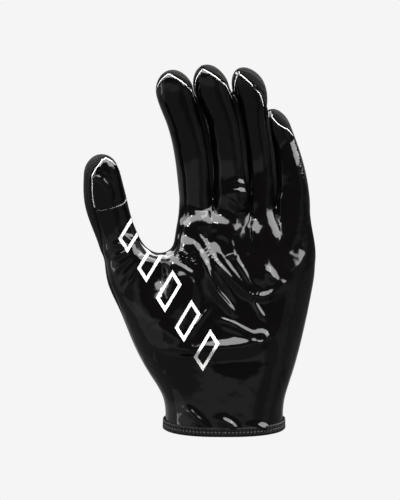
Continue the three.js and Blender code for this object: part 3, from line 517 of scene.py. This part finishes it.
# Each point moves toward the mean of its neighbours, by each step in turn. A step back after one forward
# keeps the whole from shrinking.
def relax(points, edges, weight, rounds, steps=(0.5,)):
    a, b = edges[:, 0], edges[:, 1]
    count = np.maximum(np.bincount(np.r_[a, b], minlength=len(points)), 1)[:, None]
    for _ in range(rounds):
        for step in steps:
            total = gather(a, points[b], len(points)) + gather(b, points[a], len(points))
            points = points + (total / count - points) * (weight * step)[:, None]
    return points


def normalsOf(points, faces):  # the mean of the faces' normals round each point
    across, up = points[faces[:, 2]] - points[faces[:, 0]], points[faces[:, 3]] - points[faces[:, 1]]
    return unit(gather(faces.ravel(), np.repeat(np.cross(across, up), 4, axis=0), len(points)))


def away(points, targets, batch=200):  # the distance from each point to the nearest of some targets
    nearest = np.full(len(points), np.inf)
    for start in range(0, len(targets), batch):
        chunk = targets[start:start + batch]
        square = ((points ** 2).sum(1)[:, None] + (chunk ** 2).sum(1)[None] - 2 * points @ chunk.T).min(1)
        nearest = np.minimum(nearest, np.maximum(square, 0))
    return np.sqrt(nearest)


print("smoothing the skin")
allFaces = np.concatenate(list(skinMesh.panels.values()))
edges, edgeCounts = countEdges(allFaces)
points, marks = skinMesh.points, skinMesh.marks
free = np.ones(len(points))
free[edges[edgeCounts == 1]] = 0  # the hem stays
# Joins between a digit and the hand are softened: the place and the reach round it, in mm, and the rounds
soften = {"web": {"reach": 11, "rounds": 40},
          "parting": {"reach": 14, "low": 35, "fadeLow": 20, "above": 12, "rounds": 190},
          "thumbBase": {"reach": 13, "above": 2, "side": -36, "fade": 8, "rounds": 45},
          "knuckles": {"reach": 20, "height": 124, "side": -30, "fade": 12, "rounds": 130},
          "gaps": {"reach": 8, "rounds": 16},
          "gussetTop": {"reach": 5, "above": 0.98, "rounds": 30}}
overall = {"weight": 0.9, "before": 6, "after": 4, "steps": (0.5, -0.53), "front": 2, "frontFade": 6}
handLeft = handSides(np.clip(points[:, 2], 0, web))["left"]
frontSide = np.clip((overall["front"] - points[:, 1]) / overall["frontFade"], 0, 1)
gaps = np.array([baseEnds(name)[1] for name in order[:4]])
gussetPoints = np.unique(skinMesh.panels["gusset"])
gussetTop = points[gussetPoints[marks[gussetPoints, 3] > soften["gussetTop"]["above"]]].mean(0)
parting, base, knuckles = (soften[name] for name in ("parting", "thumbBase", "knuckles"))
# how much of the smoothing each point gets: a bell round the place, times what keeps it to one side
near = {
    "web": bell(np.linalg.norm(points - gaps[0], axis=1), soften["web"]["reach"]),
    "parting": frontSide * bell(points[:, 0] - handLeft, parting["reach"])
    * ease((points[:, 2] - parting["low"]) / parting["fadeLow"])
    * ease((web + parting["above"] - points[:, 2]) / parting["above"]),
    "thumbBase": bell(points[:, 2] - web - base["above"], base["reach"])
    * np.clip((base["side"] - points[:, 0]) / base["fade"], 0, 1),
    "knuckles": frontSide * bell(points[:, 2] - knuckles["height"], knuckles["reach"])
    * ease((points[:, 0] - knuckles["side"]) / knuckles["fade"]),
    "gaps": bell(away(points, gaps[1:]), soften["gaps"]["reach"]),
    "gussetTop": bell(np.linalg.norm(points - gussetTop, axis=1), soften["gussetTop"]["reach"]),
}
points = relax(points, edges, overall["weight"] * free, overall["before"], overall["steps"])
for name, place in soften.items():
    points = relax(points, edges, np.clip(near[name], 0, 1) * free, place["rounds"])
points = relax(points, edges, overall["weight"] * free, overall["after"], overall["steps"])

# The folds as the front view shows them, in millimetres: x and z along each fold, its width and its rise. A
# pair of widths or rises runs from the fold's start to its end, and a rise below 0 is a hollow. "ball" stands
# for the ball of the thumb.
palmFolds = {
    "mainFold": ([(-27, 130), (-22.5, 123), (-12.8, 114.8), (-5, 102.2), (1, 96), (7, 90), (14.8, 84),
                  (22, 82.3), (29, 85), (34, 90)], (1.4, 2.3), (0.9, 3.4)),
    "thumbSideFold": ([(-18.8, 113), (-15.2, 108.2), (-11, 100.4), (-8.6, 93.2), (-5.6, 86), (-0.2, 79.4),
                       (5.8, 72.4)], (1.7, 1.9), (2.0, 3.4)),
    "innerFold": ([(-7.6, 115.4), (-0.6, 104.4), (3.8, 98.6), (8.2, 93.4), (14.6, 87.4),
                   (20, 84.6)], 1.2, (0.8, 2.0)),
    "upperFold": ([(-5.8, 117), (-1.6, 118.4), (1.4, 117), (4.2, 111.2), (7.2, 103.4), (12, 96.2),
                   (16.2, 88.6), (20.6, 86)], 1.2, (0.9, 2.1)),
    "smallArc": ([(1.4, 105.5), (4, 107), (6.6, 105.5)], 1.0, 0.9),
    "lowerLine": ([(-14, 109), (-4, 96), (3, 86), (9, 76)], 1.1, (0.4, 1.6)),
    "tail": ([(15, 84), (17.8, 79), (20.8, 73.6), (23.8, 69.5)], 1.3, (1.3, 2.0)),
    "ballEdge": ([(-30, 109), (-19, 99), (-14, 88), (-13, 78), (-21, 62), (-30, 55)], 4.2, -1.4),
    "ballCrease": ([(-8.4, 76.6), (-15, 68), (-22.8, 59.2)], 1.2, 1.7),
    "ballPad": ([(-39, 68), (-32, 60), (-24, 58.5), (-18.5, 66)], 4.6, 2.6),
    "lensUpper": ([(-5, 70), (6, 66), (15, 61.4), (21, 60)], 1.3, 1.3),
    "lensInner": ([(-2, 66), (6, 62.5), (15, 58.5)], 1.1, 1.0),
    "lensHook": ([(20, 62), (24.4, 59.5), (23.2, 55.6), (18, 55)], 1.4, 1.6),
    "heelBand": ([(-36, 54), (-16, 52), (0, 52.5), (15, 54.5), (27, 60)], 4.2, 2.9),
    "heelLeft": ([(-38, 53), (-27, 51.5), (-14, 51)], 3.4, 1.8),
    "heelHollow": ([(-12, 46), (6, 44.5), (24, 47)], 5.0, -1.4),
    "wristWaveA": ([(-22, 17), (-15, 10), (-9, 4)], 2.0, 2.2),
    "wristWaveB": ([(-3, 10), (2, 8), (8, 3)], 2.4, 2.2),
    "wristWaveC": ([(16, 6), (22, 5), (28, 3)], 2.4, 1.8),
    "webPuckerA": ([(-27, 110), (-20, 104)], 1.1, 0.9),
    "webPuckerB": ([(-26, 106), (-17, 101)], 1.0, 0.9),
    "webPuckerC": ([(-28, 102), (-19, 97)], 1.1, 0.8),
    "indexPad": ([(-34, 121), (-24, 123), (-12, 125), (0, 123), (8, 117)], 7.0, 3.6),
    "webPad": ([(-35, 115), (-24, 113.5), (-15, 109)], 6.0, 2.4),
    "webRoll": ([(-54, 107), (-42, 103.5), (-29, 106)], 5.0, 2.0),
    "middlePad": ([(2, 141), (8, 141.5), (14, 139)], 8.0, 2.6),
    "littlePad": ([(22, 118), (34, 120), (45, 115)], 12.0, 3.8),
    "ringPad": ([(16, 127), (18.5, 121), (19.2, 111)], 4.0, 2.4),
    "ovalPad": ([(24.6, 99.2), (27.4, 95), (30, 90.6)], 2.0, 1.7),
    "middleBaseA": ([(3, 149), (9, 150), (15, 147)], 1.1, 1.3),
    "middleBaseB": ([(3, 144), (9, 145), (15, 142)], 1.1, 1.3),
    "middleBaseC": ([(3, 140), (7, 136), (12, 135), (15, 139)], 1.2, 1.5),
    "middleBaseD": ([(7, 141), (10, 138.5), (13, 141)], 1.0, 1.1),
    "indexBase": ([(-19, 137), (-13, 134), (-8, 136)], 1.4, -0.9),
    "thumbPleatA": ([(-63, 121), (-53, 114)], 1.0, 1.3),
    "thumbPleatB": ([(-65, 113.5), (-53, 112)], 1.0, 1.4),
    "thumbPleatC": ([(-65, 106), (-53, 110.5)], 1.0, 1.5),
    "thumbPleatD": ([(-64, 98), (-52.5, 108.5)], 1.1, 1.6),
    "thumbPleatE": ([(-61, 91), (-51, 106)], 1.1, 1.6),
    "thumbPleatF": ([(-59, 85), (-49.5, 103)], 1.2, 1.6),
}
padFolds = {"padRidge": ([(-78, 153.5), (-72, 151), (-68, 146), (-66, 139)], 1.8, 2.6)}
foldEnd = 0.03  # the half sine along a fold starts and stops this share of it before its ends


def curved(path, count=40):  # a smooth line through a few points, by splines over the run from point to point
    path = np.array(path, float)
    if len(path) < 3:
        return mix(path[0], path[-1], np.linspace(0, 1, count)[:, None])
    run = np.r_[0, np.cumsum(np.linalg.norm(np.diff(path, axis=0), axis=1))]
    rows = np.c_[run, path]
    at = np.linspace(0, run[-1], count)
    return np.stack([through(rows, 1, at), through(rows, 2, at)], -1)


def foldHeight(points, folds):  # a bell across each fold, times the root of a half sine along it
    flat, total = points[:, [0, 2]], 0
    for path, *ranges in folds.values():
        line = curved(path)
        square = ((flat[:, None] - line[None]) ** 2).sum(-1)
        along = square.argmin(1) / (len(line) - 1)
        width, rise = (mix(*np.broadcast_to(ends, 2), along) for ends in ranges)
        fade = np.sqrt(np.sin(math.pi * np.clip(along, foldEnd, 1 - foldEnd)))
        total = total + rise * fade * np.exp(-square.min(1) / width ** 2)
    return total


print("pressing in the folds")
# folds fade where the skin turns away, seams lie in a groove, and the folds are rounded a little
press = {"facing": 1.6, "groove": 0.4, "grooveWidth": 1.2, "aboveHem": 12, "roundFrom": 2, "roundOver": 2,
         "roundWeight": 0.8, "rounds": 3}
# each side strip bulges in one fold, at another depth than its neighbour's, so that the fingers close up
strip = {"rise": 1.5, "width": 0.18, "here": 0.3, "there": 0.72, "fadeIn": 0.06, "fadeOut": 0.2}
normals = normalsOf(points, allFaces)
border, inPanel = {}, {}
for name, faces in skinMesh.panels.items():
    pairs, counts = countEdges(faces)
    border[name], inPanel[name] = np.unique(pairs[counts == 1]), np.unique(faces)
lift = np.zeros(len(points))
palm, pad = inPanel["palm"], inPanel["pad"]
lift[palm] = foldHeight(points[palm], palmFolds) * np.clip(-normals[palm, 1] * press["facing"], 0, 1)
lift[pad] += foldHeight(points[pad], padFolds)
seamPoints = np.unique(np.concatenate(list(border.values())))
seamPoints = seamPoints[points[seamPoints, 2] > press["aboveHem"]]
seamAway = away(points, points[seamPoints])
lift -= press["groove"] * bell(seamAway, press["grooveWidth"])
for panel in ("stripA", "stripB", "stripC"):
    own = np.setdiff1d(inPanel[panel], border[panel])
    share, place = (marks[own, 0] - stripMark["start"]) / stripMark["width"], marks[own, 3]
    middle = np.where(marks[own, 1] > 0, strip["here"], strip["there"])
    lift[own] += (strip["rise"] * bell(share - middle, strip["width"])
                  * ease(place / strip["fadeIn"]) * ease((1.0 - place) / strip["fadeOut"]))
points = points + normals * lift[:, None]
rounding = np.zeros(len(points))
rounding[palm] = np.clip((seamAway[palm] - press["roundFrom"]) / press["roundOver"], 0, 1)
points = relax(points, edges, press["roundWeight"] * rounding * free, press["rounds"])

# the film's white cut edge shows round the tips and down one side of each, from these places on
cutFrom = {"fingerTip": 1.2, "fingerSide": 0.88, "thumbTip": 1.5, "thumbSide": 0.66}
filmEdge = np.union1d(border["palm"], border["pad"])
digit, place, side = marks[filmEdge, 2], marks[filmEdge, 3], marks[filmEdge, 4]
onFinger = (place > cutFrom["fingerTip"]) | ((side > 0) & (place > cutFrom["fingerSide"]))
onThumb = (place > cutFrom["thumbTip"]) | ((side < 0) & (place > cutFrom["thumbSide"]))
cutEdge = filmEdge[np.where(digit > 0, (digit < stripMark["digit"]) & onFinger, onThumb)]


def addMesh(name, corners, faces, values):  # corners in millimetres, and the values that are stored at them
    mesh = bpy.data.meshes.new(name)
    mesh.from_pydata((corners.reshape(-1, 3) * mm).tolist(), [], faces)
    mesh.polygons.foreach_set("use_smooth", np.ones(len(faces), bool))
    for key, value in values.items():
        vector = value.ndim == 2
        stored = mesh.attributes.new(key, "FLOAT_VECTOR" if vector else "FLOAT", "POINT")
        stored.data.foreach_set("vector" if vector else "value", value.astype(np.float32).ravel())
    mesh.validate()
    made = bpy.data.objects.new(name, mesh)
    bpy.context.scene.collection.objects.link(made)
    return made


def addPanel(name, panel):  # a panel's quads and triangles, with its wall inward from the skin
    used, faces = np.unique(skinMesh.panels[panel], return_inverse=True)
    faces = faces.reshape(-1, 4)
    same = faces == np.roll(faces, -1, axis=1)
    triangles = np.concatenate([np.delete(faces[same[:, i]], i, axis=1) for i in range(4)])
    triangles = triangles[(triangles != np.roll(triangles, -1, axis=1)).all(1)]
    piece = addMesh(name, points[used], faces[~same.any(1)].tolist() + triangles.tolist(),
                    {"cloth": marks[used][:, [0, 1, 3]], "cut": away(points[used], points[cutEdge]),
                     "seam": seamAway[used]})
    wall = piece.modifiers.new("wall", "SOLIDIFY")
    wall.thickness, wall.offset, wall.use_rim = glove["wall"] * mm, -1, True
    return piece


def tubeFaces(rows, columns):  # the quads of a grid that is closed both ways
    index = np.arange(rows * columns).reshape(rows, columns)
    after = np.roll(index, -1, axis=1)
    return np.stack([index, after, np.roll(after, -1, axis=0), np.roll(index, -1, axis=0)], -1)


def tapeRings(profile, count):  # the body's section at each level, set off along its own normal
    angle = np.linspace(0, 360, count + 1)[:-1]
    level, angle = np.meshgrid(profile[:, 0], np.where(angle > 180, angle - 360, angle), indexing="ij")
    point = bodyPoint(angle, level)
    around = np.roll(point, -1, axis=1) - np.roll(point, 1, axis=1)
    return point + unit(np.cross(around, (0.0, 0.0, 1.0))) * profile[:, 1, None, None]


print("building the pieces")
# each piece's panel, the solid that it stands for, its slot and its material
pieceOf = {
    "palm_film": ("palm", "palm_panel", "grip_film", "printedFilm"),
    "thumb_film": ("pad", "thumb_pad", "grip_film", "plainFilm"),
    "knit_back": ("back", "back_panel", "knit_back", "knit"),
    "web_gusset": ("gusset", "thumb_gusset", "knit_back", "knit"),
    "side_strip_index_middle": ("stripA", "fourchette_index_middle", "side_strip", "satin"),
    "side_strip_middle_ring": ("stripB", "fourchette_middle_ring", "side_strip", "satin"),
    "side_strip_ring_little": ("stripC", "fourchette_ring_little", "side_strip", "satin"),
    "wrist_tape": ("tape", "cuff_binding", "binding_tape", "tapeKnit"),
}
pieces = {name: addPanel(name, row[0]) for name, row in pieceOf.items() if row[0] != "tape"}

print("making the binding")
# level and distance out from the skin, once round the folded tape
tape = {"height": 5.5, "middle": 2.75, "columns": 360, "profile": np.array([
    (0.05, 0.35), (0.0, 0.9), (0.35, 1.3), (1.0, 1.45), (2.0, 1.42), (2.75, 1.3), (3.5, 1.42),
    (4.5, 1.45), (5.15, 1.3), (5.5, 0.9), (5.45, 0.45), (5.0, 0.42), (2.75, 0.4), (0.6, 0.3)])}
rings = tapeRings(tape["profile"], tape["columns"])
steps = np.linalg.norm(np.roll(rings[3], -1, axis=0) - rings[3], axis=1)  # round the tape's outside
run = np.r_[0, np.cumsum(steps)[:-1]]
cloth = np.stack(np.broadcast_arrays(run, tape["profile"][:, :1], 0), -1).reshape(-1, 3)
pieces["wrist_tape"] = addMesh("wrist_tape", rings, tubeFaces(*rings.shape[:2]).reshape(-1, 4).tolist(),
                               {"cloth": cloth})


class Socket:  # a node's output, with arithmetic
    def __init__(self, shader, output):
        self.shader, self.output = shader, output

    def __add__(self, other):
        return self.shader.maths("ADD", self, other)

    def __sub__(self, other):
        return self.shader.maths("SUBTRACT", self, other)

    def __rsub__(self, other):
        return self.shader.maths("SUBTRACT", other, self)

    def __mul__(self, other):
        return self.shader.maths("MULTIPLY", self, other)

    __radd__, __rmul__ = __add__, __mul__


class Shader:  # the nodes of a material or of the world
    def __init__(self, owner, surface, **constants):
        owner.use_nodes = True
        self.owner, self.tree = owner, owner.node_tree
        self.surface = self.tree.nodes[surface]
        self.set(**constants)

    def plug(self, target, value):  # a socket is linked, and a constant is set on the input itself
        if isinstance(value, Socket):
            self.tree.links.new(value.output, target)
        else:
            target.default_value = value

    def node(self, kind, settings, inputs=(), output=0):  # settings first, then the inputs
        made = self.tree.nodes.new(kind)
        for key, value in settings.items():
            setattr(made, key, value)
        for key, value in (inputs.items() if isinstance(inputs, dict) else enumerate(inputs)):
            self.plug(made.inputs[key], value)
        return Socket(self, made.outputs[output])

    def maths(self, operation, *values):
        return self.node("ShaderNodeMath", {"operation": operation}, values)

    def set(self, **values):
        for key, value in values.items():
            self.plug(self.surface.inputs[key.replace("_", " ")], value)

    def attribute(self, name, output="Fac"):
        return self.node("ShaderNodeAttribute", {"attribute_name": name}, output=output)

    def parts(self, vector):  # x, y and z of a vector
        split = self.tree.nodes.new("ShaderNodeSeparateXYZ")
        self.plug(split.inputs[0], vector)
        return [Socket(self, output) for output in split.outputs]

    def place(self):  # where a point is on the object, in millimetres
        where = self.node("ShaderNodeTexCoord", {}, output="Object")
        return self.node("ShaderNodeVectorMath", {"operation": "SCALE"}, {0: where, "Scale": 1 / mm})

    def noise(self, vector, scale, detail):
        return self.node("ShaderNodeTexNoise", {}, {"Vector": vector, "Scale": scale, "Detail": detail})

    def between(self, value, low, high):  # 0 at low, 1 at high, eased
        return self.node("ShaderNodeMapRange", {"interpolation_type": "SMOOTHSTEP"},
                         {"Value": value, "From Min": low, "From Max": high})

    def blend(self, share, first, second):  # a colour between two
        colours = [value if isinstance(value, Socket) else (*value, 1) for value in (first, second)]
        return self.node("ShaderNodeMix", {"data_type": "RGBA"},
                         {"Factor": share, 6: colours[0], 7: colours[1]}, output=2)

    def bump(self, height):  # height in millimetres
        self.set(Normal=self.node("ShaderNodeBump", {}, {"Height": height, "Distance": mm, "Strength": 1.0},
                                  output="Normal"))


film = {"black": (0.0019, 0.0016, 0.0015), "white": (0.9, 0.89, 0.88), "gloss": 0.07, "dull": 0.5,
        "specular": 0.5, "cut": 0.7, "cutEdge": 0.25}
# slanted hollow bars in a row over the thumb's side of the palm, which fade out where y turns to the back
bar = {"start": (-60.5, 129.5), "end": (-5, 42.5), "count": 5, "tall": 17, "wide": 10, "line": 1.9,
       "slant": 0.5, "edge": 0.12, "endEdge": 0.1, "front": (-16.5, -15.5)}
# the film's unevenness: the scale of each noise, its detail and its height in millimetres
uneven = {"broad": (0.09, 1.0, 0.7), "medium": (0.3, 0.0, 0.1), "alongSeams": (0.7, 0.0, 0.4),
          "atWeb": (0.5, 1.0, 0.7)}
# where the last two show: near a seam and above a height, and near a place at the web, all in millimetres
puckers = {"seam": (0.5, 4.0), "height": (118, 135), "web": (-22, -18, 104), "fromWeb": (3, 11)}


def barsOn(shader, x, y, z):  # 1 on the bars' lines: near the border of a box that repeats along the row
    down = np.subtract(bar["end"], bar["start"])
    length = float(np.linalg.norm(down))
    downX, downZ = (float(value) / length for value in down)
    pitch = length / bar["count"]
    s = (x - bar["start"][0]) * downX + (z - bar["start"][1]) * downZ
    t = (z - bar["start"][1]) * downX - (x - bar["start"][0]) * downZ
    sheared = s + t * bar["slant"]
    middle = pitch / 2 - shader.maths("PINGPONG", sheared, pitch / 2)
    outside = shader.maths("MAXIMUM", middle - bar["wide"] / 2, shader.maths("ABSOLUTE", t) - bar["tall"] / 2)
    depth = shader.maths("ABSOLUTE", outside + bar["line"] / 2)
    line = 1 - shader.between(depth, bar["line"] / 2 - bar["edge"], bar["line"] / 2 + bar["edge"])
    first = shader.between(sheared, -bar["endEdge"], bar["endEdge"])
    last = 1 - shader.between(sheared, length - bar["endEdge"], length + bar["endEdge"])
    return line * (first * last) * (1 - shader.between(y, *bar["front"]))


def filmMaterial(name, printed):  # black gloss, with white at the cut edges and on the bars
    shader = Shader(bpy.data.materials.new(name), "Principled BSDF", Specular_IOR_Level=film["specular"])
    where = shader.place()
    x, y, z = shader.parts(where)
    white = 1 - shader.between(shader.attribute("cut"), film["cut"] - film["cutEdge"], film["cut"])
    if printed:  # the bars
        white = shader.maths("MAXIMUM", white, barsOn(shader, x, y, z))
    shader.set(Base_Color=shader.blend(white, film["black"], film["white"]),
               Roughness=film["gloss"] + white * (film["dull"] - film["gloss"]))
    broad, medium, alongSeams, atWeb = (shader.noise(where, scale, detail) * height
                                        for scale, detail, height in uneven.values())
    nearSeam = 1 - shader.between(shader.attribute("seam"), *puckers["seam"])
    fromWeb = shader.node("ShaderNodeVectorMath", {"operation": "DISTANCE"}, {0: where, 1: puckers["web"]},
                          output="Value")
    shader.bump(broad + medium + alongSeams * nearSeam * shader.between(z, *puckers["height"])
                + atWeb * (1 - shader.between(fromWeb, *puckers["fromWeb"])))
    return shader.owner


# each fabric's colour and roughness, the distances of its ribs across and up in millimetres, and their height
fabrics = {
    "knit": {"colour": (0.0095, 0.0085, 0.008), "roughness": 0.8, "across": 1.1, "up": 1.3, "rise": 0.14},
    "satin": {"colour": (0.008, 0.007, 0.007), "roughness": 0.5, "across": 0.8, "up": 0.9, "rise": 0.06},
    "tapeKnit": {"colour": (0.0065, 0.006, 0.006), "roughness": 0.6, "across": 2.2, "up": 1.1, "rise": 0.1},
}
# in the knit's colour, dark is the painted shade in the ribs' hollows, which deepens over a range of rib
# heights; the flecks vary the tone at random
yarn = {"sheen": 0.015, "sheenRoughness": 0.5, "specular": 0.12, "sway": 1.2, "rows": 0.5, "ribShadeRange": 1.4,
        "dark": 0.55, "fleckScale": 1.4, "fleckDetail": 2.0, "fleckTone": 0.4, "fleckRise": 0.1}
stitch = {"colour": (0.09, 0.085, 0.08), "strength": 0.6, "dash": (-0.1, 0.3), "half": (0.3, 0.55)}


def knitMaterial(name, fabric):  # sines for the ribs and rows, with painted shade in their hollows and a painted highlight on their crests, and noise for flecks
    shader = Shader(bpy.data.materials.new(name), "Principled BSDF", Roughness=fabric["roughness"],
                    Sheen_Weight=yarn["sheen"], Sheen_Roughness=yarn["sheenRoughness"],
                    Specular_IOR_Level=yarn["specular"])
    across, up, _ = shader.parts(shader.attribute("cloth", "Vector"))
    ribs = shader.maths("SINE", across * (2 * math.pi / fabric["across"]))
    rows = shader.maths("SINE", up * (2 * math.pi / fabric["up"]) + ribs * yarn["sway"])
    height = (ribs + rows * yarn["rows"]) * fabric["rise"]
    crest = fabric["rise"] * yarn["ribShadeRange"]
    fleck = shader.noise(shader.place(), yarn["fleckScale"], yarn["fleckDetail"])
    # painted shade and painted highlight: the colour darkens in the ribs' hollows and lightens on their
    # crests, mixed with the flecks' random tone
    tone = shader.between(height, -crest, crest) * (1 - yarn["fleckTone"]) + fleck * yarn["fleckTone"]
    base = shader.blend(tone, tuple(value * yarn["dark"] for value in fabric["colour"]), fabric["colour"])
    if name == "tapeKnit":  # a line of stitches along the tape's middle
        off = shader.maths("ABSOLUTE", up - tape["middle"])
        dash = shader.between(ribs, *stitch["dash"]) * (1 - shader.between(off, *stitch["half"]))
        base = shader.blend(dash * stitch["strength"], base, stitch["colour"])
    shader.set(Base_Color=base)
    shader.bump(height + fleck * yarn["fleckRise"])
    return shader.owner


print("making the materials")
materials = {"printedFilm": filmMaterial("printedFilm", True), "plainFilm": filmMaterial("plainFilm", False)}
materials.update({name: knitMaterial(name, fabric) for name, fabric in fabrics.items()})


def flatSize(panel):  # width, length and area of the cloth, in millimetres
    if panel == "tape":  # the tape is folded over the hem
        return float(steps.sum()), 2 * tape["height"], float(steps.sum()) * tape["height"]
    p, q, r, s = points[skinMesh.panels[panel]].transpose(1, 0, 2)
    area = np.linalg.norm(np.cross(r - p, s - q), axis=1).sum() / 2  # half the product of the diagonals
    high = float(np.ptp(points[inPanel[panel], 2]))
    filled = 0.75  # the share of width times length that a piece fills
    return area / high / filled, high, area


for name, (panel, node, slotName, material) in pieceOf.items():
    piece = pieces[name]
    piece.data.materials.append(materials[material])
    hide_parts(node)
    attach(piece, "root")
    width, high, area = flatSize(panel)
    print("sheet", name, round(width, 1), round(high, 1), round(area))

print("lighting")
# The studio's light by direction: a base, and boxes with a strength and, along each axis, where the box
# starts and ends and how soft its edges are. The glove's front mirrors the first two, darker at the right.
studio = {"base": 0.045, "shade": 0.7, "shaded": (0.6, 1.1, 0.3)}
boxes = {
    "front": {"strength": 0.171, "z": (-0.18, -0.03, 0.2)},
    "below": {"strength": 0.114, "z": (-1.1, -0.03, 0.2)},
    "sky": {"strength": 7.0, "z": (0.74, 1.1, 0.06)},
    "left": {"strength": 0.2, "x": (-0.97, -0.8, 0.03), "y": (-0.75, -0.05, 0.1), "z": (-0.6, 0.45, 0.2)},
    "right": {"strength": 0.08, "x": (0.84, 0.95, 0.03), "y": (-0.75, -0.05, 0.1), "z": (-0.6, 0.45, 0.2)},
    "upperLeft": {"strength": 4.0, "x": (-1.1, -0.3, 0.08), "y": (-0.42, 1.1, 0.1), "z": (0.5, 0.74, 0.06)},
    "upperRight": {"strength": 6.5, "x": (0.3, 1.1, 0.08), "y": (-0.42, 1.1, 0.1), "z": (0.39, 0.74, 0.06)},
}
bpy.context.scene.world = bpy.data.worlds.new("studio")
sky = Shader(bpy.context.scene.world, "Background", Color=(1, 1, 1, 1))
direction = dict(zip("xyz", sky.parts(sky.node("ShaderNodeTexCoord", {}, output="Generated"))))


def band(axis, low, high, soft):  # 1 between low and high, fading over a soft edge
    return sky.between(direction[axis], low - soft, low) * sky.between(direction[axis], high + soft, high)


light = studio["base"]
for name, box in boxes.items():
    part = box["strength"]
    for axis in sorted(set(box) - {"strength"}):
        part = band(axis, *box[axis]) * part
    if name in ("front", "below"):
        part = part * (1 - band("x", *studio["shaded"]) * studio["shade"])
    light = part + light
sky.set(Strength=light)

# place and size in millimetres, and power in watts
lamps = {"upperLeft": {"at": (-500, -650, 900), "size": (160, 90), "power": 1.4},
         "leftStrip": {"at": (-1100, -150, 250), "size": (120, 900), "power": 1.0},
         "fill": {"at": (-100, -1500, 60), "size": (700, 500), "power": 6.0}}
for name, lamp in lamps.items():
    data = bpy.data.lights.new(name, "AREA")
    data.shape = "RECTANGLE"
    data.size, data.size_y = lamp["size"][0] * mm, lamp["size"][1] * mm
    data.energy = lamp["power"]
    made = bpy.data.objects.new(name, data)
    made.location = Vector(lamp["at"]) * mm
    aim = Vector((view["across"], 0, view["height"])) - Vector(lamp["at"])
    made.rotation_euler = aim.to_track_quat("-Z", "Y").to_euler()
    made.visible_glossy = name != "fill"  # the fill isn't mirrored in the film
    bpy.context.scene.collection.objects.link(made)

print("making the studio")
dome = {"radius": 2600, "floor": -60, "tone": 0.913, "rings": 24, "sides": 64}
tilt, turn = np.meshgrid(np.linspace(0, math.pi / 2, dome["rings"]),
                         np.linspace(0, 2 * math.pi, dome["sides"] + 1)[:-1], indexing="ij")
shell = vec(np.sin(tilt) * np.cos(turn), np.sin(tilt) * np.sin(turn), np.cos(tilt))
square = np.array([[-1, -1, 0], [1, -1, 0], [1, 1, 0], [-1, 1, 0]])
stages = {"backdrop": (shell, tubeFaces(dome["rings"], dome["sides"])[:-1].reshape(-1, 4).tolist()),
          "floor": (square, [[0, 1, 2, 3]])}
pale = Shader(bpy.data.materials.new("pale"), "Principled BSDF", Base_Color=(0, 0, 0, 1),
              Specular_IOR_Level=0, Emission_Color=(dome["tone"],) * 3 + (1,), Emission_Strength=1)
for name, (corners, faces) in stages.items():
    stage = addMesh(name, corners * dome["radius"] + (0, 0, dome["floor"]), faces, {})
    stage.data.materials.append(pale.owner)
    stage.visible_glossy = stage.visible_diffuse = stage.visible_shadow = False

scene = bpy.context.scene
scene.view_settings.view_transform = "Standard"
scene.view_settings.look = "None"
